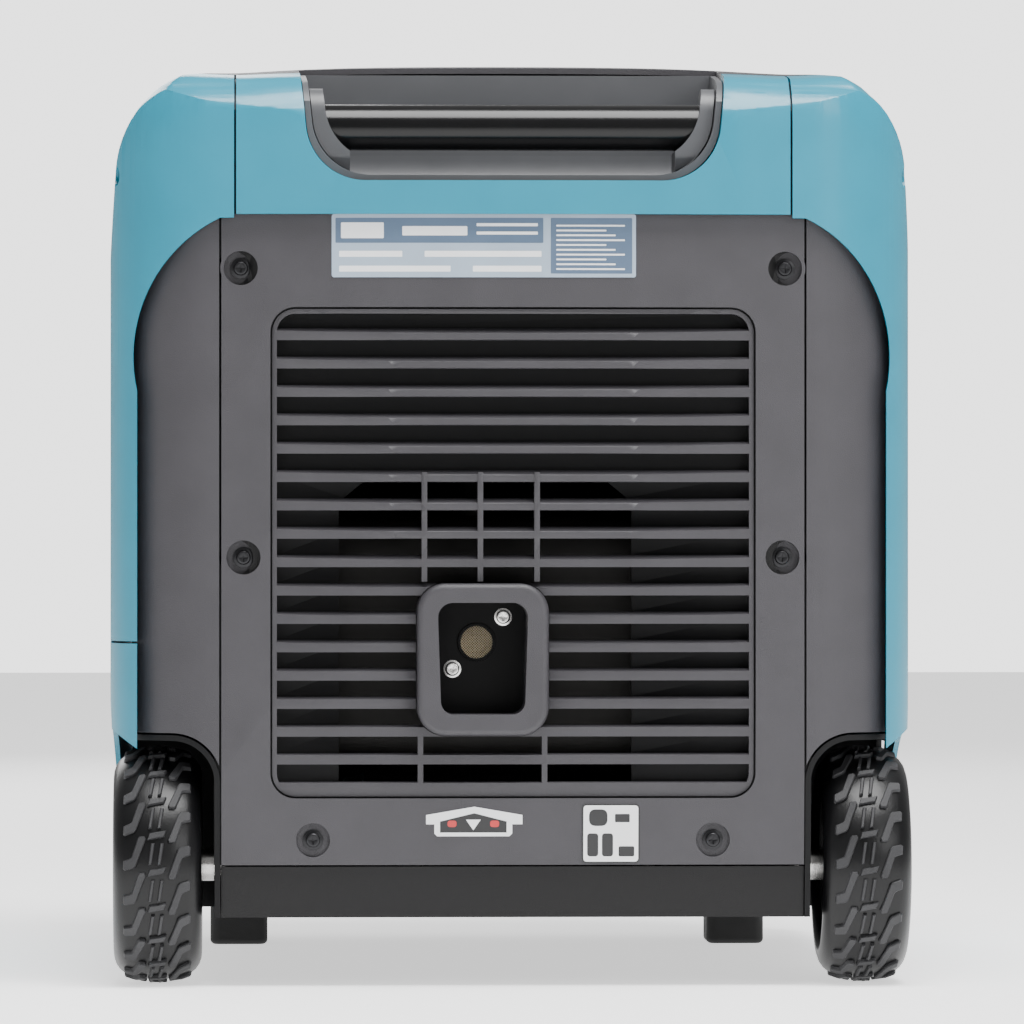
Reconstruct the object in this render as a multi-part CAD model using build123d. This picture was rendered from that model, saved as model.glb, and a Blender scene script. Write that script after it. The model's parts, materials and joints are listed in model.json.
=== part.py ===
from build123d import *
import math
import os

# Suitcase inverter generator. Origin: middle of the footprint, on the floor. +Z up, +X right, and
# -Y is the exhaust end. Millimetres throughout.

# ---- driving dimensions ----
LENGTH = 620.0
WIDTH = 440.0
HEIGHT = 510.0
BODY_BOTTOM = 37.5          # underside of the base tray
WALL = 3.0                  # thickness of the moulded shells
GREY_INSET = 6.0            # grey panels lie this far inside the coloured shells
CORNER_RADIUS = 60.0        # upright corners and top side edges
TOP_END_RADIUS = 34.0       # top edge at each end
SEAM_X = 150.0              # seam between side shell and top bezel
BORDER_X = 203.0            # where the side shell gives way to the grey end
BORDER_Z = 417.0            # lower edge of the rear top bezel
PANEL_X = 158.0             # seam between rear panel and corner cover
GAP = 0.6                   # half the joint gap between neighbouring mouldings
ARCH_TOP, ARCH_RADIUS = 136.0, 26.0     # wheel arch: its height and its upper inner corner

WHEEL_RADIUS = 64.5
WHEEL_WIDTH = 48.0
WHEEL_X = 192.0
WHEEL_Y = -245.0
AXLE_RADIUS = 6.0
FIT = 0.06                  # radial clearance of a running fit
FOOT_X, FOOT_Y = 148.0, 165.0

BAR_RADIUS = 12.5
BAR_Y, BAR_Z = -274.0, 465.0
NOTCH_TOP_X, NOTCH_LIP_X, NOTCH_LIP_Z = 115.0, 93.0, 435.0

WINDOW_Z0, WINDOW_Z1, WINDOW_X = 102.0, 367.0, 131.0
SLATS, SLAT_PITCH, SLAT_TOP_Z = 17, 15.3, 355.7
PORT_X, PORT_Z, PORT_W, PORT_H = -16.6, 177.0, 71.0, 82.0
SCREEN_X, SCREEN_Z, SCREEN_RADIUS = -19.2, 186.0, 10.0

TUBE_X, TUBE_Z, TUBE_RADIUS = 91.0, 470.0, 8.0
TUBE_REAR, TUBE_FRONT = -185.0, 282.0
CAP_Y, CAP_RADIUS = -30.0, 36.0

CRANK_Y, CRANK_Z, CRANK_RADIUS = -50.0, 190.0, 12.5
PULLEY_RADIUS = 40.0

CONTROL_Y = 291.0           # face of the control panel
CONTROL_X, CONTROL_Z0, CONTROL_Z1 = 162.0, 205.0, 400.0

parts = {}


# ---- small helpers ----
def block(x0, x1, y0, y1, z0, z1, radius=0.0, along=Axis.Z):
    """A box between two corners, its edges along one axis rounded."""
    solid = Pos((x0 + x1) / 2, (y0 + y1) / 2, (z0 + z1) / 2) * Box(x1 - x0, y1 - y0, z1 - z0)
    if radius:
        solid = fillet(solid.edges().filter_by(along), radius)
    return solid


def rod_x(x0, x1, y, z, radius):
    return Pos((x0 + x1) / 2, y, z) * Rot(0, 90, 0) * Cylinder(radius, x1 - x0)


def rod_y(y0, y1, x, z, radius):
    return Pos(x, (y0 + y1) / 2, z) * Rot(90, 0, 0) * Cylinder(radius, y1 - y0)


def rod_z(z0, z1, x, y, radius):
    return Pos(x, y, (z0 + z1) / 2) * Cylinder(radius, z1 - z0)


def xz_prism(face, y0, y1):
    """Extrude a face drawn in X and Z from y0 to y1."""
    plane = Plane(origin=(0, y1, 0), x_dir=(1, 0, 0), z_dir=(0, -1, 0))
    return extrude(plane * face, amount=y1 - y0)


def yz_prism(face, x0, x1):
    """Extrude a face drawn in Y and Z from x0 to x1."""
    plane = Plane(origin=(x0, 0, 0), x_dir=(0, 1, 0), z_dir=(1, 0, 0))
    return extrude(plane * face, amount=x1 - x0)


def xy_prism(face, z0, z1):
    return extrude(Pos(0, 0, z0) * face, amount=z1 - z0)


def rounded_face(x0, x1, z0, z1, radius):
    return Pos((x0 + x1) / 2, (z0 + z1) / 2) * RectangleRounded(x1 - x0, z1 - z0, radius)


def outline_face(points, radii):
    """A closed outline of straight runs with rounded corners."""
    return make_face(FilletPolyline(*points, radius=radii, close=True).edges())


def mirrored(solid):
    return mirror(solid, about=Plane.YZ)


def both_sides(solid):
    return [solid, mirrored(solid)]


def joined(solids):
    """Keep separate solids together in one node."""
    return Compound(children=[piece for solid in solids for piece in solid.solids()])


def panhead(x, y, z, radius, height, facing=-1):
    """A pan head screw facing along Y, with a cross recess."""
    head = rod_y(-height, 0, 0, 0, radius)
    head = fillet(head.edges().group_by(Axis.Y)[0], height * 0.45)
    for turn in (0, 90):
        head -= Rot(0, turn, 0) * block(-radius * 0.6, radius * 0.6, -height - 1, -height * 0.55,
                                        -radius * 0.11, radius * 0.11)
    if facing > 0:
        head = Rot(0, 0, 180) * head
    return Pos(x, y, z) * head


# ---- the outer form ----
def envelope(inset, bottom=BODY_BOTTOM):
    """The closed outer form of the casing, drawn in by inset on the sides, ends and top."""
    half, reach, top = WIDTH / 2 - inset, LENGTH / 2 - inset, HEIGHT - inset
    crown, sill, tuck, bow = 19.0, 11.0, 12.0, 12.0

    edge_z = top - crown
    right = ThreePointArc((half - sill, bottom), (half, 205), (half - 9, edge_z))
    left = ThreePointArc((9 - half, edge_z), (-half, 205), (sill - half, bottom))
    across = ThreePointArc((half - 9, edge_z), (0, top), (9 - half, edge_z))
    end_view = make_face([right, across, left, Line((sill - half, bottom), (half - sill, bottom))])
    end_view = fillet(end_view.vertices().group_by(Axis.Y)[-1], CORNER_RADIUS - inset)

    front = ThreePointArc((reach - tuck, bottom), (reach, 300), (reach - 2, edge_z))
    rear = ThreePointArc((2 - reach, edge_z), (-reach, 300), (tuck - reach, bottom))
    along = ThreePointArc((reach - 2, edge_z), (0, top), (2 - reach, edge_z))
    side_view = make_face([front, along, rear, Line((tuck - reach, bottom), (reach - tuck, bottom))])
    side_view = fillet(side_view.vertices().group_by(Axis.Y)[-1], TOP_END_RADIUS - inset / 2)

    plan = make_face([
        ThreePointArc((3 - half, bow - reach), (0, -reach), (half - 3, bow - reach)),
        ThreePointArc((half - 3, bow - reach), (half, 0), (half - 3, reach - bow)),
        ThreePointArc((half - 3, reach - bow), (0, reach), (3 - half, reach - bow)),
        ThreePointArc((3 - half, reach - bow), (-half, 0), (3 - half, bow - reach)),
    ])
    plan = fillet(plan.vertices(), CORNER_RADIUS - inset)
    return (xz_prism(end_view, -LENGTH, LENGTH) & yz_prism(side_view, -WIDTH, WIDTH)
            & xy_prism(plan, bottom, HEIGHT))


def skin(inset, thickness=WALL):
    return envelope(inset) - envelope(inset + thickness, BODY_BOTTOM - 5)


def end_area(grow=0.0):
    """The outline of the grey end as seen from the end: upright sides and swept top corners."""
    x, z = BORDER_X + grow, BORDER_Z + grow
    right = [Line((x, 20), (x, z - 95)), ThreePointArc((x, z - 95), (x - 11, z - 32), (x - 45, z - 2)),
             Line((x - 45, z - 2), (0, z))]
    return make_face([*right, *[mirror(edge, about=Plane.YZ) for edge in right],
                      Line((-x, 20), (x, 20))])


def notch_face(grow=0.0):
    """The U-shaped opening of the hand recess, seen from the end."""
    top, lip, floor = NOTCH_TOP_X + grow, NOTCH_LIP_X + grow, NOTCH_LIP_Z - grow
    return outline_face([(-top - 2, 540), (-top, 497), (-lip - 16, floor), (lip + 16, floor), (top, 497),
                         (top + 2, 540)], [0, 60, 32, 32, 60, 0])


def arch_prism(grow, y0, y1):
    """The space of the right wheel arch, with its large upper inner corner."""
    x, z = PANEL_X - grow, ARCH_TOP + grow
    outline = outline_face([(x, 0), (WIDTH, 0), (WIDTH, z), (x, z)], [0, 0, 0, ARCH_RADIUS + grow])
    return xz_prism(outline, y0, y1)


coloured_skin = skin(0)
grey_skin = skin(GREY_INSET)
outer_form = envelope(0)

top_cover_area = rounded_face(-187, 187, -254, 254, 36)
hand_gap = xz_prism(notch_face(), -LENGTH, -203) + xz_prism(notch_face(), 203, LENGTH)
wheel_clearance = rod_x(-WIDTH, WIDTH, WHEEL_Y, WHEEL_RADIUS, WHEEL_RADIUS + 10)


# ---- coloured side shells and their lower covers ----
SILL_Z = 60.0
DOOR_SEAM_Z = 186.0
DOOR_Y0, DOOR_Y1, DOOR_Z0, DOOR_Z1 = -140.0, 150.0, 74.0, 172.0
HATCH_Y0, HATCH_Y1, HATCH_Z0, HATCH_Z1 = -252.0, 40.0, 160.0, 330.0
HINGE_CORNER = 2.5          # corner radius on the hinge edge of the door and the hatch
VENT_Y0, VENT_Y1, VENT_Z0, VENT_Z1 = -150.0, 60.0, 72.0, 150.0


def side_opening(y0, y1, z0, z1, radius, x0, x1):
    return yz_prism(rounded_face(y0, y1, z0, z1, radius), x0, x1)


def door_prism(grow, hinge_grow):
    """The service door's outline; the corners on its hinge edge are nearly square so it can swing."""
    z0, z1 = DOOR_Z0 - hinge_grow, DOOR_Z1 + grow
    y0, y1 = DOOR_Y0 - grow, DOOR_Y1 + grow
    return yz_prism(outline_face([(y0, z0), (y1, z0), (y1, z1), (y0, z1)],
                                 [HINGE_CORNER, HINGE_CORNER, 12 + grow, 12 + grow]), -WIDTH, -150)


def hatch_prism(grow, hinge_grow):
    """The battery hatch's outline, with the same nearly square corners on its hinge edge."""
    z0, z1 = HATCH_Z0 - grow, HATCH_Z1 + grow
    y0, y1 = HATCH_Y0 - grow, HATCH_Y1 + hinge_grow
    return yz_prism(outline_face([(y0, z0), (y1, z0), (y1, z1), (y0, z1)],
                                 [16 + grow, HINGE_CORNER, HINGE_CORNER, 16 + grow]), 150, WIDTH)


side_skin = coloured_skin - xz_prism(end_area(), -LENGTH, -150) - xz_prism(end_area(), 150, LENGTH)
side_skin -= block(-SEAM_X - GAP, SEAM_X + GAP, -LENGTH, LENGTH, 380, 540)
side_skin -= xy_prism(rounded_face(-188.2, 188.2, -255.2, 255.2, 37), 400, 540)
side_skin -= wheel_clearance
side_skin -= block(-WIDTH, WIDTH, -LENGTH, LENGTH, 0, SILL_Z)
left_skin = side_skin & block(-WIDTH, -60, -LENGTH, LENGTH, 0, 540)
right_skin = side_skin & block(60, WIDTH, -LENGTH, LENGTH, 0, 540)

shoulder_bores = [Pos(side * 209, y, 439) * Rot(0, 90, 0) * Cylinder(5.5, 40)
                  for side in (-1, 1) for y in (-262, 262)]
for bore in shoulder_bores:
    left_skin -= bore
    right_skin -= bore

left_lower = left_skin & block(-WIDTH, 0, -LENGTH, LENGTH, 0, DOOR_SEAM_Z - GAP)
parts["left_side_shell"] = left_skin - block(-WIDTH, 0, -LENGTH, LENGTH, 0, DOOR_SEAM_Z + GAP)
parts["left_lower_panel"] = left_lower - door_prism(1, 2.8)
parts["right_side_shell"] = (
    right_skin - hatch_prism(1, 2.8)
    - side_opening(VENT_Y0 - 1, VENT_Y1 + 1, VENT_Z0 - 1, VENT_Z1 + 1, 11, 150, WIDTH))

PIN_RADIUS, KNUCKLE_RADIUS, KNUCKLE = 1.6, 3.2, 12.0


def hinge(pin_x, along, centre, leaf):
    """One hinge: the knuckle that the leaf carries, the pin with its two end blocks, and the notch."""
    inward = 1 if pin_x < 0 else -1
    knuckle = Cylinder(KNUCKLE_RADIUS, 2 * KNUCKLE)
    pin = Cylinder(PIN_RADIUS, 2 * KNUCKLE + 16)
    notch = Compound(children=[Pos(0, 0, end * (KNUCKLE + 4.6)) * Box(16, 12, 8.6) for end in (-1, 1)])
    for end in (-1, 1):
        pin += Pos(inward * 6, 0, end * (KNUCKLE + 4.5)) * Box(16, 4.6, 7)
    web = Pos(0, leaf * 3, 0) * Box(2.4, 6, 2 * KNUCKLE)
    turn = Rot(90, 0, 0) if along == "y" else Rot(0, 0, 0)
    place = Pos(*centre) * turn
    return place * (knuckle + web), place * pin, place * notch, place * Cylinder(PIN_RADIUS + FIT, 80)


# Service door on the left, hinged along its lower edge, with a quarter-turn latch.
DOOR_PIN_X, DOOR_PIN_Z = -209.8, 77.6
LATCH_Y, LATCH_Z = 5.0, 158.0
door = coloured_skin & door_prism(0, 0)
door -= rod_x(-WIDTH, -190, LATCH_Y, LATCH_Z, 11 + FIT)
pins = []
for y in (-90.0, 90.0):
    knuckle, pin, notch, bore = hinge(DOOR_PIN_X, "y", (DOOR_PIN_X, y, DOOR_PIN_Z), 1)
    door = door - notch + knuckle - bore
    pins.append(pin)
parts["service_door"] = door
latch = rod_x(-221, -209, LATCH_Y, LATCH_Z, 11) & envelope(0.4)
latch -= block(-225, -217.5, LATCH_Y - 8, LATCH_Y + 8, LATCH_Z - 1.6, LATCH_Z + 1.6)
latch += rod_x(-211, -203, LATCH_Y, LATCH_Z, 5)
latch += block(-206, -203, LATCH_Y - 5, LATCH_Y + 5, LATCH_Z - 5, LATCH_Z + 12, 2, Axis.X)
parts["service_door_latch"] = latch

# Battery hatch on the right, hinged upright at its front edge, with a finger pull at the rear.
HATCH_PIN_X, HATCH_PIN_Y = 215.9, HATCH_Y1 - 3.6
hatch = coloured_skin & hatch_prism(0, 0)
for z in (200.0, 290.0):
    knuckle, pin, notch, bore = hinge(HATCH_PIN_X, "z", (HATCH_PIN_X, HATCH_PIN_Y, z), -1)
    hatch = hatch - notch + knuckle - bore
    pins.append(pin)
parts["hinge_pins"] = joined(pins)
pull = block(190, 219.4, HATCH_Y0 + 2, HATCH_Y0 + 38, HATCH_Z0 + 3, HATCH_Z0 + 54, 6, Axis.X)
hatch -= pull
pull_cup = (pull - block(180, 230, HATCH_Y0 + 4.5, HATCH_Y0 + 35.5, HATCH_Z0 + 5.5, HATCH_Z0 + 51.5)
            + block(190, 192.5, HATCH_Y0 + 4, HATCH_Y0 + 36, HATCH_Z0 + 5, HATCH_Z0 + 52)) & outer_form
parts["battery_hatch"] = joined([hatch, pull_cup])

# Black vented cover low on the right, with the recoil grip in its middle.
GRIP_Z = CRANK_Z - PULLEY_RADIUS - 27.0
vent = coloured_skin & side_opening(VENT_Y0, VENT_Y1, VENT_Z0, VENT_Z1, 10, 150, WIDTH)
for count in range(6):
    z = VENT_Z0 + 14 + 10 * count
    for y0, y1 in ((VENT_Y0 + 10, CRANK_Y - 38), (CRANK_Y + 38, VENT_Y1 - 10)):
        vent -= block(150, WIDTH, y0, y1, z - 2.5, z + 2.5)
pocket = block(202, WIDTH, CRANK_Y - 34, CRANK_Y + 34, GRIP_Z - 16, GRIP_Z + 16, 7, Axis.X)
vent -= pocket
pocket_wall = block(200, WIDTH, CRANK_Y - 36, CRANK_Y + 36, GRIP_Z - 18, GRIP_Z + 18, 9, Axis.X) - pocket
vent += pocket_wall & envelope(0)
vent -= rod_x(150, WIDTH, CRANK_Y, GRIP_Z, 4.5)
parts["recoil_vent_cover"] = vent


# ---- bezels, top cover, hand recesses and grab bar ----
def top_bezel(facing):
    """The coloured U round the hand recess at one end; facing is -1 at the rear and 1 in front."""
    y0, y1 = (-LENGTH, -255.2) if facing < 0 else (255.2, LENGTH)
    band = block(GAP - SEAM_X, SEAM_X - GAP, y0, y1, BORDER_Z, 540)
    bezel = (coloured_skin & band) - hand_gap
    rim = xz_prism(notch_face(WALL), -LENGTH, LENGTH) - xz_prism(notch_face(), -LENGTH, LENGTH)
    return (bezel + (rim & band & outer_form)).solids().sort_by(SortBy.VOLUME)[-1]


parts["rear_top_bezel"] = top_bezel(-1)
parts["front_top_bezel"] = top_bezel(1)

cover = (coloured_skin & xy_prism(top_cover_area, 400, 540)) - hand_gap
cap_well = rod_z(486, 540, 0, CAP_Y, 60)
cover += rod_z(486, 509.5, 0, CAP_Y, 64) & outer_form
cover -= cap_well
well_floor = rod_z(486, 489, 0, CAP_Y, 61) - rod_z(480, 495, 0, CAP_Y, 31)
parts["top_cover"] = cover + well_floor


def scoop(facing):
    """The grey lining of a hand recess: curved floor and back wall, and two side walls."""
    lip_y, floor_z, back_y = 252.0, NOTCH_LIP_Z - 10, 206.0
    side = outline_face([(-lip_y - 46, NOTCH_LIP_Z - 0.5), (-lip_y, floor_z), (-back_y, floor_z),
                         (-back_y, 520), (-lip_y - 46, 520)], [0, 30, 28, 0, 0])
    hollow = outline_face([(-lip_y - 60, NOTCH_LIP_Z + 2), (-lip_y, floor_z + WALL),
                           (-back_y - WALL, floor_z + WALL), (-back_y - WALL, 530), (-lip_y - 60, 530)],
                          [0, 30, 25, 0, 0])
    body = yz_prism(side, -NOTCH_TOP_X, NOTCH_TOP_X) & xz_prism(notch_face(-0.4), -LENGTH, LENGTH)
    body -= yz_prism(hollow, WALL - NOTCH_TOP_X, NOTCH_TOP_X - WALL) & xz_prism(notch_face(-0.4 - WALL),
                                                                           -LENGTH, LENGTH)
    body &= envelope(4)
    return body if facing < 0 else mirror(body, about=Plane.XZ)


front_scoop = scoop(1)
for side in (-1, 1):
    front_scoop -= rod_y(150, 230, side * TUBE_X, TUBE_Z, TUBE_RADIUS + 0.3)
parts["hand_recesses"] = joined([scoop(-1), front_scoop])

bracket = yz_prism(outline_face([(BAR_Y - 15, 449), (BAR_Y - 15, 486), (BAR_Y + 16, 486), (BAR_Y + 24, 430),
                                 (BAR_Y - 6, 430)], [6, 14, 14, 4, 4]), 60, NOTCH_TOP_X)
bracket &= (xz_prism(notch_face(-WALL - 1), -LENGTH, LENGTH)
            - xz_prism(notch_face(-WALL - 8), -LENGTH, LENGTH))
bracket -= rod_x(60, 102, BAR_Y, BAR_Z, BAR_RADIUS + 0.05)
bracket -= block(0, 88, -LENGTH, LENGTH, 0, HEIGHT)
parts["rear_grab_bar"] = rod_x(-101.8, 101.8, BAR_Y, BAR_Z, BAR_RADIUS) - rod_x(-102, 102, BAR_Y, BAR_Z,
                                                                            BAR_RADIUS - 2)
parts["grab_bar_brackets"] = joined(both_sides(bracket))

# ---- grey rear end ----
rear_window = xz_prism(rounded_face(-WINDOW_X, WINDOW_X, WINDOW_Z0, WINDOW_Z1, 13.5), -LENGTH, -150)
rear_grey = grey_skin & xz_prism(end_area(3.0), -LENGTH, -200)
corner = rear_grey & block(PANEL_X + GAP, WIDTH, -LENGTH, 0, ARCH_TOP - ARCH_RADIUS, 540)
corner -= arch_prism(2 * GAP, -LENGTH, 0)
parts["rear_corner_covers"] = joined(both_sides(corner))

screw_places = [(side * x, z) for x, z in ((147.0, 388.0), (145.5, 232.0), (108.0, 79.5)) for side in (-1, 1)]
panel = rear_grey & block(GAP - PANEL_X, PANEL_X - GAP, -LENGTH, 0, 66, 540)
panel -= rear_window
screws = []
for x, z in screw_places:
    face_y = -298.0
    cup = rod_y(face_y - 12, face_y + 9, x, z, 11) - rod_y(face_y - 20, face_y + 6, x, z, 9.2)
    panel -= rod_y(-LENGTH, -200, x, z, 9.2)
    panel += cup & envelope(GREY_INSET)
    panel -= rod_y(face_y, face_y + 20, x, z, 2.6)
    washer = rod_y(face_y + 4.6, face_y + 6, x, z, 5.5)
    screws.append(panhead(x, face_y + 4.6, z, 3.9, 2.8) + washer + rod_y(face_y + 5, face_y + 14, x, z, 2.5))
parts["rear_panel"] = panel

# Louvre: a blind back wall with an open middle, slats across it and three short ribs.
LOUVRE_BACK = -281.0
louvre = xz_prism(rounded_face(1 - WINDOW_X, WINDOW_X - 1, WINDOW_Z0 + 1, WINDOW_Z1 - 1, 12.5), -299.0,
                  LOUVRE_BACK)
louvre -= xz_prism(rounded_face(3.5 - WINDOW_X, WINDOW_X - 3.5, WINDOW_Z0 + 3.5, WINDOW_Z1 - 3.5, 10), -310.0,
                   LOUVRE_BACK - 5)
open_middle = outline_face([(-94, 109), (-94, 262), (-73, 279), (44, 279), (64.4, 262), (64.4, 109)],
                           [2, 12, 12, 12, 12, 2])
louvre -= xz_prism(open_middle, -310, -270)
slats = []
for count in range(SLATS):
    top = SLAT_TOP_Z - SLAT_PITCH * count
    slat = outline_face([(-300.5, top - 6.5), (-300.5, top - 2.5), (-293, top), (LOUVRE_BACK - 3, top),
                         (LOUVRE_BACK - 3, top - 2), (-297, top - 6.5)], [0.8, 0.8, 0, 0, 0, 0])
    slats.append(yz_prism(slat, 3 - WINDOW_X, WINDOW_X - 3))
louvre += Compound(children=slats) & xz_prism(rounded_face(1 - WINDOW_X, WINDOW_X - 1, WINDOW_Z0 + 1,
                                                           WINDOW_Z1 - 1, 12.5), -310, -270)
for x, z0, z1 in ((-48, 219, 278), (-17.8, 219, 278), (12.8, 219, 278), (-50, 110, 136), (17, 110, 136)):
    louvre += block(x - 1.5, x + 1.5, -301, LOUVRE_BACK - 2, z0, z1)
port_hole = rounded_face(PORT_X - PORT_W / 2 - 0.5, PORT_X + PORT_W / 2 + 0.5, PORT_Z - PORT_H / 2 - 0.5,
                         PORT_Z + PORT_H / 2 + 0.5, 16)
louvre -= xz_prism(port_hole, -310, -270)
louvre &= envelope(GREY_INSET + 2.5)
parts["rear_louvre"] = louvre.solids().sort_by(SortBy.VOLUME)[-1]

surround = xz_prism(rounded_face(PORT_X - PORT_W / 2, PORT_X + PORT_W / 2, PORT_Z - PORT_H / 2,
                                 PORT_Z + PORT_H / 2, 15.5), -309.5, -274)
surround = fillet(surround.edges().group_by(Axis.Y)[0], 3.5)
bore = outline_face([(PORT_X - 22.5, 147.5), (PORT_X - 24.5, 207.6), (PORT_X + 24.5, 207.6),
                     (PORT_X + 22.5, 147.5)], [7, 8, 8, 7])
surround -= xz_prism(bore, -320, -260)
parts["exhaust_surround"] = surround
plate = xz_prism(rounded_face(PORT_X - PORT_W / 2 + 1, PORT_X + PORT_W / 2 - 1, PORT_Z - PORT_H / 2 + 1,
                              PORT_Z + PORT_H / 2 - 1, 14), -273.8, -271.5)
plate -= rod_y(-290, -260, SCREEN_X, SCREEN_Z, SCREEN_RADIUS + 0.3)
zinc_places = ((-4.7, 199.7), (-32.3, 171.5))
zinc = []
for x, z in zinc_places:
    plate -= rod_y(-290, -260, x, z, 2.1)
    washer, shank = rod_y(-274.8, -273.8, x, z, 4.8), rod_y(-274, -264, x, z, 2)
    zinc.append(panhead(x, -274.8, z, 3.8, 2.6) + washer + shank)
parts["rear_screws"] = joined(screws + zinc)
screen = rod_y(-276, -271, SCREEN_X, SCREEN_Z, SCREEN_RADIUS) - rod_y(-280, -260, SCREEN_X, SCREEN_Z,
                                                                      SCREEN_RADIUS - 1.2)
for count in range(-3, 4):
    reach = math.sqrt(SCREEN_RADIUS ** 2 - (2.6 * count) ** 2) - 0.6
    x, z = SCREEN_X + 2.6 * count, SCREEN_Z + 2.6 * count
    screen += block(x - 0.4, x + 0.4, -274.6, -273.8, SCREEN_Z - reach, SCREEN_Z + reach)
    screen += block(SCREEN_X - reach, SCREEN_X + reach, -274.6, -273.8, z - 0.4, z + 0.4)
parts["exhaust_plate"] = joined([plate, screen])

# ---- base tray, wheel wells, feet ----
tray = envelope(9, BODY_BOTTOM) & block(-WIDTH, WIDTH, -LENGTH, LENGTH, 0, 65)
tray_hollow = envelope(12.5, BODY_BOTTOM + 4) & block(-WIDTH, WIDTH, -LENGTH, LENGTH, 0, 70)
tray -= tray_hollow
tray -= block(157.5, WIDTH, -LENGTH, -162, 0, 80) + block(-WIDTH, -157.5, -LENGTH, -162, 0, 80)
parts["base_tray"] = tray
well = arch_prism(0, -300, -163) & block(PANEL_X, 207, -300, -163, BODY_BOTTOM, ARCH_TOP)
well -= arch_prism(-WALL, -320, -166)
well &= envelope(GREY_INSET + 1, BODY_BOTTOM)
well -= rod_x(150, 170, WHEEL_Y, WHEEL_RADIUS, AXLE_RADIUS + 0.05)
parts["wheel_wells"] = joined(both_sides(well.solids().sort_by(SortBy.VOLUME)[-1]))
foot = block(FOOT_X - 17, FOOT_X + 17, FOOT_Y - 20, FOOT_Y + 20, 0, BODY_BOTTOM, 6)
foot = fillet(foot.edges().group_by(Axis.Z)[0], 3)
parts["rubber_feet"] = joined(both_sides(foot))


# ---- wheels ----
def tyre(x):
    """A moulded tyre ring with a rounded tread and shoulder lugs."""
    half = WHEEL_WIDTH / 2
    section = outline_face([(-half + 4, 42), (-half, 50), (-half + 1, 60), (-half + 6, WHEEL_RADIUS),
                            (half - 6, WHEEL_RADIUS), (half - 1, 60), (half, 50), (half - 4, 42)],
                           [2, 4, 3, 3, 3, 3, 4, 2])
    ring = revolve(Plane.XZ * section, Axis.X)
    groove = Rot(0, 90, 0) * (Cylinder(WHEEL_RADIUS + 1, 2.4) - Cylinder(WHEEL_RADIUS - 3, 2.4))
    for side in (-1, 1):
        ring -= Pos(side * 6.5, 0, 0) * groove
    lugs = 20
    for count in range(lugs):
        for side in (-1, 1):
            cut = Pos(side * 15.5, 0, WHEEL_RADIUS) * Box(17, 3.2, 6)
            ring -= Rot((count + 0.25 * side) * 360 / lugs, 0, 0) * cut
    return Pos(x, WHEEL_Y, WHEEL_RADIUS) * ring


def rim(x, outward):
    """A five-spoke rim with a hub bored for the axle."""
    section = outline_face([(-19, 42), (19, 42), (19, 38), (-19, 38)], [0, 0, 0, 0])
    body = revolve(Plane.XZ * section, Axis.X)
    body += Rot(0, 90, 0) * Cylinder(13, 40)
    for count in range(5):
        spoke = Pos(outward * 10, 0, 25) * Box(8, 13, 28)
        body += Rot(count * 72, 0, 0) * spoke
    body += Pos(-outward * 8, 0, 0) * (Rot(0, 90, 0) * Cylinder(39, 2.5))
    body -= Rot(0, 90, 0) * Cylinder(AXLE_RADIUS + FIT, 60)
    return Pos(x, WHEEL_Y, WHEEL_RADIUS) * body


for name, side in (("left", -1), ("right", 1)):
    x = side * WHEEL_X
    parts[name + "_tyre"] = tyre(x)
    hub = rod_x(-2.2, 2.2, 0, 0, 12.5)
    hub = fillet(hub.edges().group_by(Axis.X)[-1 if side > 0 else 0], 1.8)
    hub_cap = Pos(x + side * 22.4, WHEEL_Y, WHEEL_RADIUS) * hub
    parts[name + "_rim"] = joined([rim(x, side), hub_cap])
axle_end = WHEEL_X + 20.0
axle = rod_x(-axle_end, axle_end, WHEEL_Y, WHEEL_RADIUS, AXLE_RADIUS)
for side in (-1, 1):
    axle += rod_x(min(side * 171, side * 161.5), max(side * 171, side * 161.5), WHEEL_Y, WHEEL_RADIUS, 9)
parts["wheel_axle"] = axle

# ---- front end ----
front_grey = grey_skin & xz_prism(end_area(3.0), 200, LENGTH)
frame = front_grey & block(-WIDTH, WIDTH, 0, LENGTH, 66, 540)
panel_opening = xz_prism(rounded_face(-CONTROL_X, CONTROL_X, CONTROL_Z0, CONTROL_Z1, 14), 200, LENGTH)
intake_opening = xz_prism(rounded_face(-130, 130, 92, 186, 12), 200, LENGTH)
frame -= panel_opening + intake_opening
rim_outline = rounded_face(-CONTROL_X - WALL, CONTROL_X + WALL, CONTROL_Z0 - WALL, CONTROL_Z1 + WALL, 17)
panel_rim = (xz_prism(rim_outline, 284, LENGTH) - panel_opening) & envelope(GREY_INSET)
parts["front_frame"] = frame + panel_rim
intake = xz_prism(rounded_face(-129.4, 129.4, 92.6, 185.4, 11.4), 280, 299)
intake -= xz_prism(rounded_face(-126, 126, 96, 182, 8), 270, 310)
for count in range(9):
    z = 101 + 9.5 * count
    slat = outline_face([(299, z - 3), (299, z + 1), (284, z + 4), (284, z + 2)], [0, 0, 0, 0])
    intake += yz_prism(slat, -127, 127)
for x in (-64, 0, 64):
    intake += block(x - 1.5, x + 1.5, 282, 298, 95, 183)
parts["front_intake_louvre"] = intake

control = xz_prism(rounded_face(-CONTROL_X + GAP, CONTROL_X - GAP, CONTROL_Z0 + GAP, CONTROL_Z1 - GAP, 13),
                   CONTROL_Y - 4, CONTROL_Y)


def knob(x, z, radius, depth, fillet_radius=1.0):
    """A round control standing on the panel, its stem through the panel."""
    cap = rod_y(CONTROL_Y + 0.4, CONTROL_Y + depth, x, z, radius)
    cap = fillet(cap.edges().group_by(Axis.Y)[-1], fillet_radius)
    return cap + rod_y(CONTROL_Y - 8, CONTROL_Y + 1, x, z, radius * 0.45)


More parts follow.
